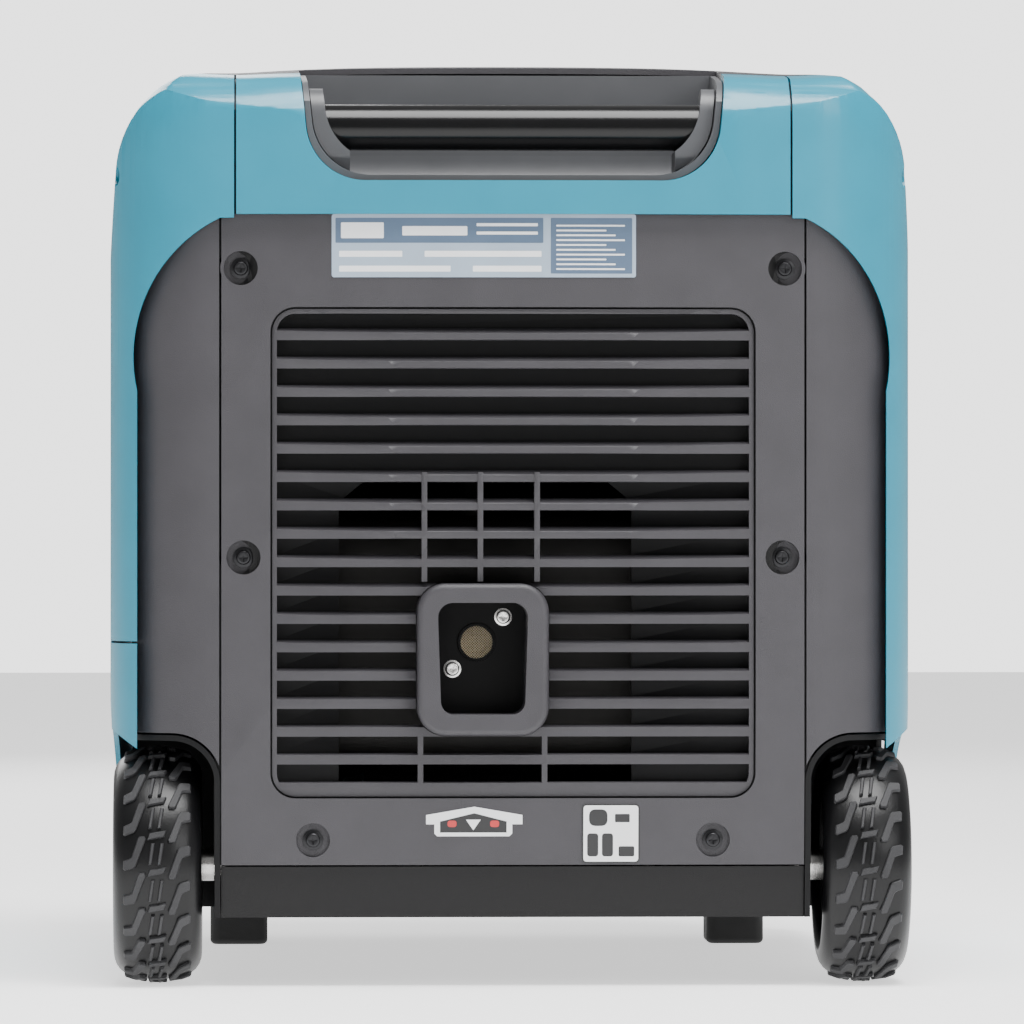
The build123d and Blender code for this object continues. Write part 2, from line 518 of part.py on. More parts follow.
def push_button(x, z, radius):
    """A plunger through the panel, with a wider collar behind it."""
    plunger = rod_y(CONTROL_Y - 8, CONTROL_Y + 5, x, z, radius)
    plunger = fillet(plunger.edges().group_by(Axis.Y)[-1], 1.2)
    return plunger + rod_y(CONTROL_Y - 7, CONTROL_Y - 5, x, z, radius + 1.5)


def stem_hole(x, z, radius):
    return rod_y(CONTROL_Y - 10, CONTROL_Y + 10, x, z, radius * 0.45 + FIT)


SWITCH_X, SWITCH_Z = -122.0, 372.0
START_X, START_Z = -72.0, 372.0
ECO_X, ECO_Z, ROCKER_TILT = -30.0, 372.0, 8.0
DISPLAY_X, DISPLAY_Z = 78.0, 372.0
SOCKET_Z, SOCKETS_X, SOCKET_HALF = 276.0, (-118.0, -50.0), 27.0
DC_X, DC_Z = 18.0, 262.0
USB_X, USB_Z = 18.0, 306.0
BREAKER_X, BREAKER_Z = 64.0, 306.0
PARALLEL_X, PARALLEL_Z = (104.0, 132.0), 306.0
TRANSFER_X, TRANSFER_Z = 118.0, 258.0
EARTH_X, EARTH_Z = 64.0, 226.0

switch = knob(SWITCH_X, SWITCH_Z, 19, 9, 2)
switch += block(SWITCH_X - 4, SWITCH_X + 4, CONTROL_Y + 8, CONTROL_Y + 17,
                SWITCH_Z - 18, SWITCH_Z + 18, 3, Axis.Y)
parts["engine_switch"] = switch
parts["start_button"] = push_button(START_X, START_Z, 9.5)
control -= stem_hole(SWITCH_X, SWITCH_Z, 19) + rod_y(280, 300, START_X, START_Z, 9.5 + FIT)

rocker_bezel = (block(ECO_X - 14, ECO_X + 14, CONTROL_Y, CONTROL_Y + 2.5, ECO_Z - 10, ECO_Z + 10, 2, Axis.Y)
                - block(ECO_X - 11, ECO_X + 11, 280, 300, ECO_Z - 7.5, ECO_Z + 7.5))
rocker_profile = outline_face([(-9.4, 6), (0, 4.3), (9.4, 6), (9.4, 0), (0, -4), (-9.4, 0)],
                              [0.5, 12, 0.5, 0, 0, 0])
rocker = extrude(rocker_profile, amount=6.7, both=True) - rod_z(-10, 10, 0, -1, 1.2 + FIT)
rocker = Pos(ECO_X, CONTROL_Y - 2.5, ECO_Z) * Rot(0, 0, ROCKER_TILT) * Pos(0, 1, 0) * rocker
parts["eco_rocker"] = rocker
rocker_bezel += rod_z(ECO_Z - 8.5, ECO_Z + 8.5, ECO_X, CONTROL_Y - 2.5, 1.2) \
    + block(ECO_X - 2.5, ECO_X + 2.5, CONTROL_Y - 4, CONTROL_Y + 1, ECO_Z + 7.6, ECO_Z + 9.5) \
    + block(ECO_X - 2.5, ECO_X + 2.5, CONTROL_Y - 4, CONTROL_Y + 1, ECO_Z - 9.5, ECO_Z - 7.6)
control -= block(ECO_X - 12, ECO_X + 12, 280, 300, ECO_Z - 9.6, ECO_Z + 9.6)

display = xz_prism(rounded_face(DISPLAY_X - 62, DISPLAY_X + 62, DISPLAY_Z - 22, DISPLAY_Z + 22, 5),
                   CONTROL_Y - 2, CONTROL_Y + 3)
parts["display_window"] = fillet(display.edges().group_by(Axis.Y)[-1], 1)
control -= xz_prism(rounded_face(DISPLAY_X - 62.3, DISPLAY_X + 62.3, DISPLAY_Z - 22.3, DISPLAY_Z + 22.3, 5.3),
                    280, 300)

sockets = []
for index, x in enumerate(SOCKETS_X):
    outline = rounded_face(x - SOCKET_HALF, x + SOCKET_HALF,
                           SOCKET_Z - SOCKET_HALF, SOCKET_Z + SOCKET_HALF, 5)
    body = xz_prism(outline, CONTROL_Y - 22, CONTROL_Y + 2)
    body -= rod_y(CONTROL_Y - 16, CONTROL_Y + 5, x, SOCKET_Z, 19.5)
    for side in (-1, 1):
        body -= rod_y(CONTROL_Y - 21, CONTROL_Y, x + side * 9.5, SOCKET_Z, 2.4)
        contact_x = x + side * 19.6
        body += block(contact_x - 1, contact_x + 1, CONTROL_Y - 16, CONTROL_Y, SOCKET_Z - 4, SOCKET_Z + 4)
        lug = block(x + side * 22 - 2.5, x + side * 22 + 2.5, CONTROL_Y + 2, CONTROL_Y + 9, SOCKET_Z + 19.5,
                    SOCKET_Z + 26.5)
        body += lug
    body += rod_x(x - 24, x + 24, CONTROL_Y + 6, SOCKET_Z + 23, 1.5)
    sockets.append(body)
    lid = block(x - 25, x + 25, CONTROL_Y + 3, CONTROL_Y + 6, SOCKET_Z - 26, SOCKET_Z + 17, 3, Axis.Y)
    lid += rod_x(x - 18.5, x + 18.5, CONTROL_Y + 6, SOCKET_Z + 23, 3.2)
    lid += block(x - 18.5, x + 18.5, CONTROL_Y + 3.6, CONTROL_Y + 6.6, SOCKET_Z + 16, SOCKET_Z + 23)
    lid -= rod_x(x - 30, x + 30, CONTROL_Y + 6, SOCKET_Z + 23, 1.5 + FIT)
    parts["socket_lid_%d" % (index + 1)] = lid
    control -= xz_prism(rounded_face(x - 27.3, x + 27.3, SOCKET_Z - 27.3, SOCKET_Z + 27.3, 5.3), 260, 300)

dc = rod_y(CONTROL_Y - 22, CONTROL_Y + 2, DC_X, DC_Z, 15)
dc -= rod_y(CONTROL_Y - 18, CONTROL_Y + 5, DC_X, DC_Z, 10.5)
dc += rod_x(DC_X - 9, DC_X + 9, CONTROL_Y + 5, DC_Z + 18, 1.5)
for side in (-1, 1):
    lug_x = DC_X + side * 8
    dc += block(lug_x - 2, lug_x + 2, CONTROL_Y + 0.2, CONTROL_Y + 7, DC_Z + 10, DC_Z + 20)
parts["panel_sockets"] = joined(sockets + [dc])
lid = rod_y(CONTROL_Y + 2.6, CONTROL_Y + 5.2, DC_X, DC_Z, 14.5)
lid -= block(DC_X - 15, DC_X + 15, 280, 310, DC_Z + 9.5, DC_Z + 16)
lid += rod_x(DC_X - 5.5, DC_X + 5.5, CONTROL_Y + 5, DC_Z + 18, 3)
lid += block(DC_X - 5.5, DC_X + 5.5, CONTROL_Y + 2.6, CONTROL_Y + 5.2, DC_Z + 8, DC_Z + 18)
parts["dc_socket_lid"] = lid - rod_x(DC_X - 20, DC_X + 20, CONTROL_Y + 5, DC_Z + 18, 1.5 + FIT)
control -= rod_y(280, 300, DC_X, DC_Z, 15.3)

usb = block(USB_X - 16, USB_X + 16, CONTROL_Y - 14, CONTROL_Y + 2, USB_Z - 10, USB_Z + 10, 3, Axis.Y)
for side in (-1, 1):
    slot_x = USB_X + side * 7.5
    usb -= block(slot_x - 2.6, slot_x + 2.6, CONTROL_Y - 10, CONTROL_Y + 5, USB_Z - 6.2, USB_Z + 6.2)
control -= block(USB_X - 16.3, USB_X + 16.3, 270, 300, USB_Z - 10.3, USB_Z + 10.3)
parts["breaker_button"] = push_button(BREAKER_X, BREAKER_Z, 7)
control -= rod_y(280, 300, BREAKER_X, BREAKER_Z, 7 + FIT)
jacks = []
for x in PARALLEL_X:
    jack = rod_y(CONTROL_Y, CONTROL_Y + 5, x, PARALLEL_Z, 9)
    jack += rod_y(CONTROL_Y - 18, CONTROL_Y + 1, x, PARALLEL_Z, 5.5)
    jacks.append(jack - rod_y(CONTROL_Y - 12, CONTROL_Y + 8, x, PARALLEL_Z, 2.05))
    control -= rod_y(280, 300, x, PARALLEL_Z, 5.6)
plug_in = rod_y(CONTROL_Y - 20, CONTROL_Y + 9, TRANSFER_X, TRANSFER_Z, 15)
plug_in += rod_y(CONTROL_Y, CONTROL_Y + 2, TRANSFER_X, TRANSFER_Z, 19)
plug_in -= rod_y(CONTROL_Y - 14, CONTROL_Y + 12, TRANSFER_X, TRANSFER_Z, 12.5)
for count in range(5):
    angle = math.radians(72 * count + 90)
    plug_in += rod_y(CONTROL_Y - 15, CONTROL_Y + 1, TRANSFER_X + 7 * math.cos(angle),
                     TRANSFER_Z + 7 * math.sin(angle), 1.1)
parts["panel_connectors"] = joined([usb, *jacks, plug_in])
control -= rod_y(280, 300, TRANSFER_X, TRANSFER_Z, 15.3)
stud = rod_y(CONTROL_Y - 14, CONTROL_Y + 14, EARTH_X, EARTH_Z, 3)
nut = extrude(RegularPolygon(5.8, 6), amount=2.5, both=True)
stud += Pos(EARTH_X, CONTROL_Y + 3, EARTH_Z) * Rot(90, 0, 0) * nut
parts["earth_terminal"] = stud + rod_y(CONTROL_Y, CONTROL_Y + 0.8, EARTH_X, EARTH_Z, 8)
control -= rod_y(280, 300, EARTH_X, EARTH_Z, 3.05)
parts["control_panel"] = joined([control, rocker_bezel])

# ---- telescoping trolley handle ----
guide_y0, guide_y1 = -192.0, 203.0
guides = []
for solid in both_sides(rod_y(guide_y0, guide_y1, TUBE_X, TUBE_Z, TUBE_RADIUS + 2.5)
                        - rod_y(guide_y0 - 5, guide_y1 + 5, TUBE_X, TUBE_Z, TUBE_RADIUS + FIT)):
    guides.append(solid)
parts["handle_guides"] = joined(guides)

tubes = both_sides(rod_y(TUBE_REAR, TUBE_FRONT - 12, TUBE_X, TUBE_Z, TUBE_RADIUS)
                   - rod_y(TUBE_REAR - 5, TUBE_FRONT, TUBE_X, TUBE_Z, TUBE_RADIUS - 1.5))
parts["trolley_tubes"] = joined(tubes)
grip_section = Pos(TUBE_FRONT - 12, TUBE_Z) * RectangleRounded(22, 27, 10)
grip = yz_prism(grip_section, -102, 102)
for side in (-1, 1):
    grip -= rod_y(TUBE_REAR, TUBE_FRONT - 11.8, side * TUBE_X, TUBE_Z, TUBE_RADIUS + 0.05)
button_pocket = block(-22, 22, TUBE_FRONT - 14, TUBE_FRONT + 5, TUBE_Z - 7, TUBE_Z + 7, 5, Axis.Y)
parts["trolley_grip"] = grip - button_pocket
button = block(-21.7, 21.7, TUBE_FRONT - 9, TUBE_FRONT + 1.5, TUBE_Z - 6.7, TUBE_Z + 6.7, 4.8, Axis.Y)
parts["release_button"] = fillet(button.edges().group_by(Axis.Y)[-1], 1.2)

# ---- fuel tank and cap ----
tank = block(-150, 150, -170, 150, 388, 452, 22, Axis.Z) + block(-80, 80, -170, 150, 440, 478, 14, Axis.Z)
tank += rod_z(470, 492, 0, CAP_Y, 29)
tank -= block(-147, 147, -167, 147, 391, 449, 19, Axis.Z) + block(-77, 77, -167, 147, 430, 475, 11, Axis.Z)
tank -= rod_z(460, 500, 0, CAP_Y, 26)
parts["fuel_tank"] = tank
cap = rod_z(493, 508.5, 0, CAP_Y, CAP_RADIUS)
cap = fillet(cap.edges().group_by(Axis.Z)[-1], 3)
for count in range(12):
    flute = rod_z(480, 520, CAP_RADIUS + 3, 0, 5)
    cap -= Pos(0, CAP_Y, 0) * Rot(0, 0, count * 30) * flute
cap -= rod_z(490, 500, 0, CAP_Y, 8 + FIT)
parts["fuel_cap"] = cap
parts["fuel_cap_plug"] = rod_z(478, 492.8, 0, CAP_Y, 25.6) + rod_z(492, 499.8, 0, CAP_Y, 8)

# ---- engine and generator ----
ENGINE_X0, ENGINE_X1 = -70.0, 32.0
engine = block(ENGINE_X0, ENGINE_X1, CRANK_Y - 62, CRANK_Y + 62, 112, 262, 16, Axis.X)
engine += block(ENGINE_X0 - 8, ENGINE_X1 + 1, CRANK_Y - 72, CRANK_Y + 72, 104, 114)
engine -= rod_x(ENGINE_X0 + 8, ENGINE_X1 + 5, CRANK_Y, CRANK_Z, CRANK_RADIUS + FIT)
barrel = block(-62, 24, CRANK_Y - 43, CRANK_Y + 43, 262, 268) + rod_z(262, 350, -19, CRANK_Y, 34)
for count in range(8):
    z = 276 + 9 * count
    barrel += block(-66, 28, CRANK_Y - 46, CRANK_Y + 46, z, z + 3, 8)
barrel += block(-52, 14, CRANK_Y - 32, CRANK_Y + 32, 348, 372, 8)
plug = rod_y(CRANK_Y + 30, CRANK_Y + 62, -19, 343, 7)
plug = plug - rod_y(CRANK_Y, CRANK_Y + 46.2, -19, 343, 20)
starter = rod_x(-66, 20, CRANK_Y + 90, 214, 24)
starter_foot = block(-60, -30, CRANK_Y + 62.2, CRANK_Y + 64.8, 196, 232)
mounts = []
for x in (ENGINE_X0 - 2, ENGINE_X1 + 2):
    for y in (CRANK_Y - 60, CRANK_Y + 60):
        mounts.append(rod_z(66, 104, x, y, 16))
parts["engine"] = joined([engine, barrel, plug, starter + starter_foot] )
rail = [block(-150, 150, CRANK_Y + y - 14, CRANK_Y + y + 14, 42, 66) for y in (-60, 60)]
parts["engine_mounts"] = joined([*mounts, *rail])

shaft = rod_x(ENGINE_X0 + 20, 128, CRANK_Y, CRANK_Z, CRANK_RADIUS)
fan = rod_x(44, 49, CRANK_Y, CRANK_Z, 84) - rod_x(40, 60, CRANK_Y, CRANK_Z, CRANK_RADIUS + 0.02)
for count in range(12):
    spoke = Pos(53, CRANK_Y, CRANK_Z) * Rot(count * 30, 0, 0)
    fan += spoke * Pos(0, 0, 66) * Rot(0, 0, 25) * Box(9, 2.5, 32)
rotor = rod_x(62, 112, CRANK_Y, CRANK_Z, 76) - rod_x(68, 120, CRANK_Y, CRANK_Z, 70)
rotor -= rod_x(50, 130, CRANK_Y, CRANK_Z, CRANK_RADIUS + 0.02)
parts["crankshaft_and_rotor"] = joined([shaft, fan, rotor])
stator = rod_x(72, 106, CRANK_Y, CRANK_Z, 68) - rod_x(60, 120, CRANK_Y, CRANK_Z, 42)
for count in range(18):
    angle = math.radians(20 * count)
    stator -= rod_x(60, 120, CRANK_Y + 58 * math.cos(angle), CRANK_Z + 58 * math.sin(angle), 5)
carrier = rod_x(106.2, 118, CRANK_Y, CRANK_Z, 60) - rod_x(100, 130, CRANK_Y, CRANK_Z, 20)
carrier += rod_x(115, 118, CRANK_Y, CRANK_Z, 91.5) - rod_x(100, 130, CRANK_Y, CRANK_Z, 20)
parts["alternator_stator"] = joined([stator, carrier])
shroud = rod_x(36, 121, CRANK_Y, CRANK_Z, 95) - rod_x(30, 130, CRANK_Y, CRANK_Z, 92)
shroud += rod_x(34, 36.5, CRANK_Y, CRANK_Z, 95) - rod_x(30, 40, CRANK_Y, CRANK_Z, 40)
for count in range(10):
    shroud -= Pos(80, CRANK_Y, CRANK_Z) * Rot(count * 36, 0, 0) * Pos(0, 0, 93) * Box(50, 12, 12)
recoil = rod_x(121.2, 172, CRANK_Y, CRANK_Z, 95) - rod_x(120, 169, CRANK_Y, CRANK_Z, 91)
recoil += rod_x(140, 171, CRANK_Y, CRANK_Z, 10)
recoil -= rod_x(160, 200, CRANK_Y, GRIP_Z, 5)
for count in range(12):
    recoil -= Pos(170, CRANK_Y, CRANK_Z) * Rot(count * 30 + 15, 0, 0) * Pos(0, 0, 68) * Box(12, 8, 30)
parts["fan_shroud"] = joined([shroud, recoil])
pulley = rod_x(146, 160, CRANK_Y, CRANK_Z, PULLEY_RADIUS + 4) - rod_x(149, 157, CRANK_Y, CRANK_Z, 80)
pulley += rod_x(148, 158, CRANK_Y, CRANK_Z, PULLEY_RADIUS)
pulley -= rod_x(120, 200, CRANK_Y, CRANK_Z, 10 + FIT)
for count in range(3):
    pulley -= Pos(150, CRANK_Y, CRANK_Z) * Rot(count * 120, 0, 0) * Pos(0, 0, 25) * Box(40, 14, 12)
parts["recoil_pulley"] = pulley
grip = block(206.5, 217.5, CRANK_Y - 29, CRANK_Y + 29, GRIP_Z - 9, GRIP_Z + 9, 5, Axis.X)
grip = fillet(grip.edges().group_by(Axis.X)[-1], 3)
parts["recoil_grip"] = grip + rod_x(190, 207, CRANK_Y, GRIP_Z, 4.2)

# ---- exhaust, intake, electrics ----
muffler = block(-100, 66, -262, -190, 118, 254, 20, Axis.X)
muffler += rod_y(-270.8, -261, SCREEN_X, SCREEN_Z, 15) - rod_y(-280, -255, SCREEN_X, SCREEN_Z, 12)
bend = FilletPolyline((-19, CRANK_Y - 36, 322), (-19, -212, 322), (-19, -212, 250), radius=28)
pipe = sweep(Plane(origin=bend @ 0, z_dir=bend % 0) * Circle(11), bend)
muffler += pipe & block(-60, 20, -260, CRANK_Y - 46.3, 240, 350)
shield = block(-112, 78, -180, -178, 112, 262) + block(-112, 78, -266, -178, 262, 264)
shield -= rod_z(250, 270, -19, -212, 13)
shield -= rod_z(100, 290, -19, -190, 1)
parts["muffler"] = joined([muffler, shield])
air_box = block(-196, -128, -70, 60, 232, 330, 12, Axis.Z)
air_box -= block(-193, -131, -67, 57, 235, 327, 9, Axis.Z)
air_box += block(-200, -124, -74, 64, 276, 280, 12, Axis.Z) - block(-196, -128, -70, 60, 270, 290, 10, Axis.Z)
carburettor = block(-118, -78, -62, -26, 278, 318, 6, Axis.X) + rod_z(256, 280, -98, -44, 17)
carburettor += rod_x(-127.8, -66.2, -44, 300, 15)
carburettor -= rod_x(-140, -60, -44, 300, 10)
parts["air_filter_and_carburettor"] = joined([air_box, carburettor])
module = block(-140, 140, 212, 252, 214, 396, 4, Axis.X)
for count in range(13):
    x = -132 + 22 * count
    module += block(x - 1.2, x + 1.2, 196, 213, 220, 390)
parts["inverter_module"] = module
battery = block(-150, -36, 170, 240, 66, 158, 4)
for x in (-132, -54):
    battery += block(x - 7, x + 7, 182, 196, 157, 166)
parts["battery"] = battery + block(-152, -34, 168, 242, 42, 67)

os.makedirs("parts", exist_ok=True)
for name, solid in parts.items():
    export_step(solid, "parts/" + name + ".step")
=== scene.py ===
import bpy
import bmesh
import json
import math
import numpy as np
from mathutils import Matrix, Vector


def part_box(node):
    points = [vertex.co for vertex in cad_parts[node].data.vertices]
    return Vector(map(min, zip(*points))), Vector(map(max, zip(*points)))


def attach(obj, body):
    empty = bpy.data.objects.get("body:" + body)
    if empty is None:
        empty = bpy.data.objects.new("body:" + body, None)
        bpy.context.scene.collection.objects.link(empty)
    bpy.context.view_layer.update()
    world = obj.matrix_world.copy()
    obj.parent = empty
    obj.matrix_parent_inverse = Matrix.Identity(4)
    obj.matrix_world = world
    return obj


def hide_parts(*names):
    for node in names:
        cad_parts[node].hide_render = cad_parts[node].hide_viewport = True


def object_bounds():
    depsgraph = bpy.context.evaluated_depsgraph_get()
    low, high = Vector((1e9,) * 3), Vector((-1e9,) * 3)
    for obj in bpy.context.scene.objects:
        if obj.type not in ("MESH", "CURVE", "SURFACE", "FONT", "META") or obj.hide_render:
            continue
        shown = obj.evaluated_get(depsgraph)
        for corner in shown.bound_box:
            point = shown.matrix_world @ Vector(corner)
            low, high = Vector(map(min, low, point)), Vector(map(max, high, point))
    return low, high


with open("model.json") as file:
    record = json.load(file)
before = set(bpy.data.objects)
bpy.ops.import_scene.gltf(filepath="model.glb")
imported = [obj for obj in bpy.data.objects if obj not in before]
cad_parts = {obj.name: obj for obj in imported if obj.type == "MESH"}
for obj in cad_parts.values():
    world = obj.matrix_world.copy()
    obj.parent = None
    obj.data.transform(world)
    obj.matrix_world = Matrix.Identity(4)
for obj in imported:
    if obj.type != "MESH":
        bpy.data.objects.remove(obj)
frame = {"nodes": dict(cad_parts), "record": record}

cad_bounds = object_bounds()
MM = 0.001

# ---------------------------------------------------------------- camera, light and floor
VIEW_DISTANCE = 4.2
rear_y = cad_bounds[0][1]


def add_camera():
    data = bpy.data.cameras.new("camera")
    data.lens, data.sensor_width = 274.6, 36.0
    camera = bpy.data.objects.new("camera", data)
    bpy.context.scene.collection.objects.link(camera)
    camera.location = (-0.147, rear_y - VIEW_DISTANCE, 0.247)
    aim = Vector((-0.0011, rear_y, 0.2565)) - camera.location
    camera.rotation_euler = aim.to_track_quat("-Z", "Y").to_euler()
    bpy.context.scene.camera = camera


def add_light(name, place, target, size, power, colour=(1, 1, 1)):
    data = bpy.data.lights.new(name, "AREA")
    data.shape, data.size, data.size_y = "RECTANGLE", size[0], size[1]
    data.energy, data.color = power, colour
    light = bpy.data.objects.new(name, data)
    bpy.context.scene.collection.objects.link(light)
    light.location = place
    light.rotation_euler = (Vector(target) - Vector(place)).to_track_quat("-Z", "Y").to_euler()


def add_floor():
    mesh = bpy.data.meshes.new("floor")
    mesh.from_pydata([(-9, -9, 0), (9, -9, 0), (9, 9, 0), (-9, 9, 0)], [], [(0, 1, 2, 3)])
    floor = bpy.data.objects.new("floor", mesh)
    bpy.context.scene.collection.objects.link(floor)
    material = finish("floor_finish", (0.92, 0.92, 0.92), 0.8, spread=0.01)
    shader = material.node_tree.nodes["Principled BSDF"]
    shader.inputs["Emission Color"].default_value = (1.0, 1.0, 1.0, 1.0)
    shader.inputs["Emission Strength"].default_value = 1.0
    mesh.materials.append(material)


def add_world():
    world = bpy.data.worlds.new("studio")
    world.use_nodes = True
    nodes, links = world.node_tree.nodes, world.node_tree.links
    background = nodes["Background"]
    background.inputs["Color"].default_value = (1.0, 1.0, 1.0, 1.0)
    seen = nodes.new("ShaderNodeLightPath")
    strength = nodes.new("ShaderNodeMapRange")
    strength.inputs["To Min"].default_value = 0.42
    strength.inputs["To Max"].default_value = 2.6
    links.new(seen.outputs["Is Camera Ray"], strength.inputs["Value"])
    links.new(strength.outputs["Result"], background.inputs["Strength"])
    bpy.context.scene.world = world


# ---------------------------------------------------------------- materials
def finish(name, colour, roughness, metallic=0.0, spread=0.06, grain=0.0, grain_size=2500.0, blotch=40.0,
           coat=0.0, specular=0.5):
    """A moulded or painted surface: faint colour and gloss variation, and a fine surface grain."""
    material = bpy.data.materials.new(name)
    material.use_nodes = True
    nodes, links = material.node_tree.nodes, material.node_tree.links
    shader = nodes["Principled BSDF"]
    shader.inputs["Metallic"].default_value = metallic
    shader.inputs["Coat Weight"].default_value = coat
    shader.inputs["Coat Roughness"].default_value = 0.12
    shader.inputs["Specular IOR Level"].default_value = specular
    place = nodes.new("ShaderNodeTexCoord")

    cloud = nodes.new("ShaderNodeTexNoise")
    cloud.inputs["Scale"].default_value = blotch
    cloud.inputs["Detail"].default_value = 5.0
    links.new(place.outputs["Object"], cloud.inputs["Vector"])
    tint = nodes.new("ShaderNodeValToRGB")
    low, high = tint.color_ramp.elements
    low.position, high.position = 0.3, 0.7
    low.color = (*[channel * (1 - spread) for channel in colour], 1)
    high.color = (*[min(1.0, channel * (1 + spread)) for channel in colour], 1)
    links.new(cloud.outputs["Fac"], tint.inputs["Fac"])
    links.new(tint.outputs["Color"], shader.inputs["Base Color"])

    gloss = nodes.new("ShaderNodeMapRange")
    gloss.inputs["To Min"].default_value = max(0.0, roughness - 0.05)
    gloss.inputs["To Max"].default_value = roughness + 0.05
    links.new(cloud.outputs["Fac"], gloss.inputs["Value"])
    links.new(gloss.outputs["Result"], shader.inputs["Roughness"])

    if grain:
        texture = nodes.new("ShaderNodeTexNoise")
        texture.inputs["Scale"].default_value = grain_size
        texture.inputs["Detail"].default_value = 2.0
        links.new(place.outputs["Object"], texture.inputs["Vector"])
        bump = nodes.new("ShaderNodeBump")
        bump.inputs["Strength"].default_value = grain
        bump.inputs["Distance"].default_value = 0.0004
        links.new(texture.outputs["Fac"], bump.inputs["Height"])
        links.new(bump.outputs["Normal"], shader.inputs["Normal"])
    return material


FINISHES = {
    "turquoise": finish("turquoise_shell", (0.006, 0.215, 0.315), 0.34, spread=0.03, grain=0.1, coat=0.15),
    "dark_grey": finish("dark_grey_shell", (0.036, 0.034, 0.039), 0.5, spread=0.08, grain=0.4,
                        grain_size=1800),
    "recess_grey": finish("smooth_grey", (0.075, 0.077, 0.083), 0.4, grain=0.1),
    "base_black": finish("black_moulding", (0.0045, 0.0043, 0.0047), 0.52, grain=0.35, grain_size=1800,
                         specular=0.3),
    "gloss_black": finish("gloss_black", (0.003, 0.003, 0.0035), 0.2, coat=0.0, specular=0.3),
    "lid_grey": finish("socket_lids", (0.085, 0.085, 0.09), 0.45, grain=0.2),
    "release_red": finish("red_button", (0.5, 0.02, 0.018), 0.3, coat=0.3),
    "start_green": finish("green_button", (0.02, 0.22, 0.08), 0.3, coat=0.3),
    "tyre_rubber": finish("tyre_rubber", (0.003, 0.003, 0.0034), 0.33, spread=0.15, grain=0.15,
                          grain_size=900, specular=0.3),
    "foot_rubber": finish("foot_rubber", (0.006, 0.006, 0.006), 0.65, grain=0.3),
    "rim_plastic": finish("wheel_centre", (0.012, 0.012, 0.013), 0.35, grain=0.2),
    "zinc_steel": finish("zinc_plate", (0.72, 0.71, 0.69), 0.26, metallic=1.0, grain=0.1, grain_size=900),
    "earth_brass": finish("brass", (0.72, 0.53, 0.24), 0.28, metallic=1.0, grain=0.05),
    "cast_alloy": finish("cast_alloy", (0.05, 0.05, 0.052), 0.5, metallic=1.0, grain=0.5, grain_size=900),
    "steel_parts": finish("sooted_steel", (0.018, 0.017, 0.016), 0.55, metallic=0.6, grain=0.4),
    "tank_plastic": finish("tank_plastic", (0.012, 0.012, 0.013), 0.5, grain=0.3),
}
TREAD = finish("tread_rubber", (0.02, 0.02, 0.022), 0.62, spread=0.2, grain=0.5, grain_size=1300)
SCREW_BLACK = finish("blackened_steel", (0.022, 0.022, 0.024), 0.3, metallic=0.7, grain=0.1)
PLATE_BLUE = finish("printed_plate", (0.33, 0.41, 0.5), 0.35, spread=0.04, grain=0.05)
PLATE_DARK = finish("printed_field", (0.085, 0.13, 0.2), 0.35, spread=0.04)
LABEL_WHITE = finish("label_white", (0.82, 0.83, 0.84), 0.38, spread=0.02)
LABEL_INK = finish("label_ink", (0.012, 0.012, 0.013), 0.4, spread=0.02)
LABEL_RED = finish("label_red", (0.5, 0.03, 0.03), 0.4, spread=0.02)
SCREEN_STEEL = finish("screen_wire", (0.8, 0.74, 0.62), 0.4, metallic=1.0, spread=0.15)
DISPLAY_GLASS = finish("display_glass", (0.004, 0.006, 0.007), 0.1, spread=0.02, coat=0.5)
OUTLET_BLACK = finish("outlet_black", (0.0018, 0.0018, 0.002), 0.42, spread=0.1, grain=0.1, specular=0.12)
# Near-black painted shade for cavities and seams: the louvre's inside, the ring behind the window's edge and
# the wheel wells.
PAINTED_SHADE_BLACK = finish("painted_shade_black", (0.006, 0.006, 0.0065), 0.6, spread=0.1, grain=0.2, specular=0.2)
BAR_BLACK = finish("bar_lacquer", (0.003, 0.003, 0.0033), 0.2, spread=0.05, specular=0.32)
LIT_SEGMENT = finish("display_segment", (0.35, 0.62, 0.66), 0.3, spread=0.02)


def finish_cad_nodes():
    slots = {row["node"]: row["material_slot"] for row in frame["record"]["subparts"]}
    for node, slot in slots.items():
        thing = bpy.data.objects[node]
        for index in range(len(thing.material_slots)):
            thing.material_slots[index].material = FINISHES[slot]


# ---------------------------------------------------------------- pieces taken over from the frame
def body_of_node(node):
    return next(name for name, body in frame["record"]["behaviour"]["bodies"].items() if node in body)


def shade(thing, angle=32.0):
    """Smooth shading that keeps the edges sharper than the angle."""
    for polygon in thing.data.polygons:
        polygon.use_smooth = True
    thing.data.set_sharp_from_angle(angle=math.radians(angle))


def new_piece(name, bm, body, material, stands_for=()):
    """Puts a mesh in the scene, riding on a body, with its material and the nodes that it stands for."""
    mesh = bpy.data.meshes.new(name)
    bmesh.ops.recalc_face_normals(bm, faces=bm.faces)
    bm.to_mesh(mesh)
    bm.free()
    thing = bpy.data.objects.new(name, mesh)
    bpy.context.scene.collection.objects.link(thing)
    mesh.materials.append(material)
    shade(thing)
    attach(thing, body)
    if stands_for:
        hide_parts(*stands_for)
    return thing


def copy_of(node):
    """The node's mesh as an editable copy, its doubled points welded."""
    bm = bmesh.new()
    bm.from_mesh(bpy.data.objects[node].data)
    bmesh.ops.remove_doubles(bm, verts=bm.verts, dist=0.00001)
    return bm


def soften_edges(thing, width, segments=2, angle=38.0):
    bevel = thing.modifiers.new("edge_radius", "BEVEL")
    bevel.width, bevel.segments = width, segments
    bevel.limit_method, bevel.angle_limit = "ANGLE", math.radians(angle)
    bevel.use_clamp_overlap = True


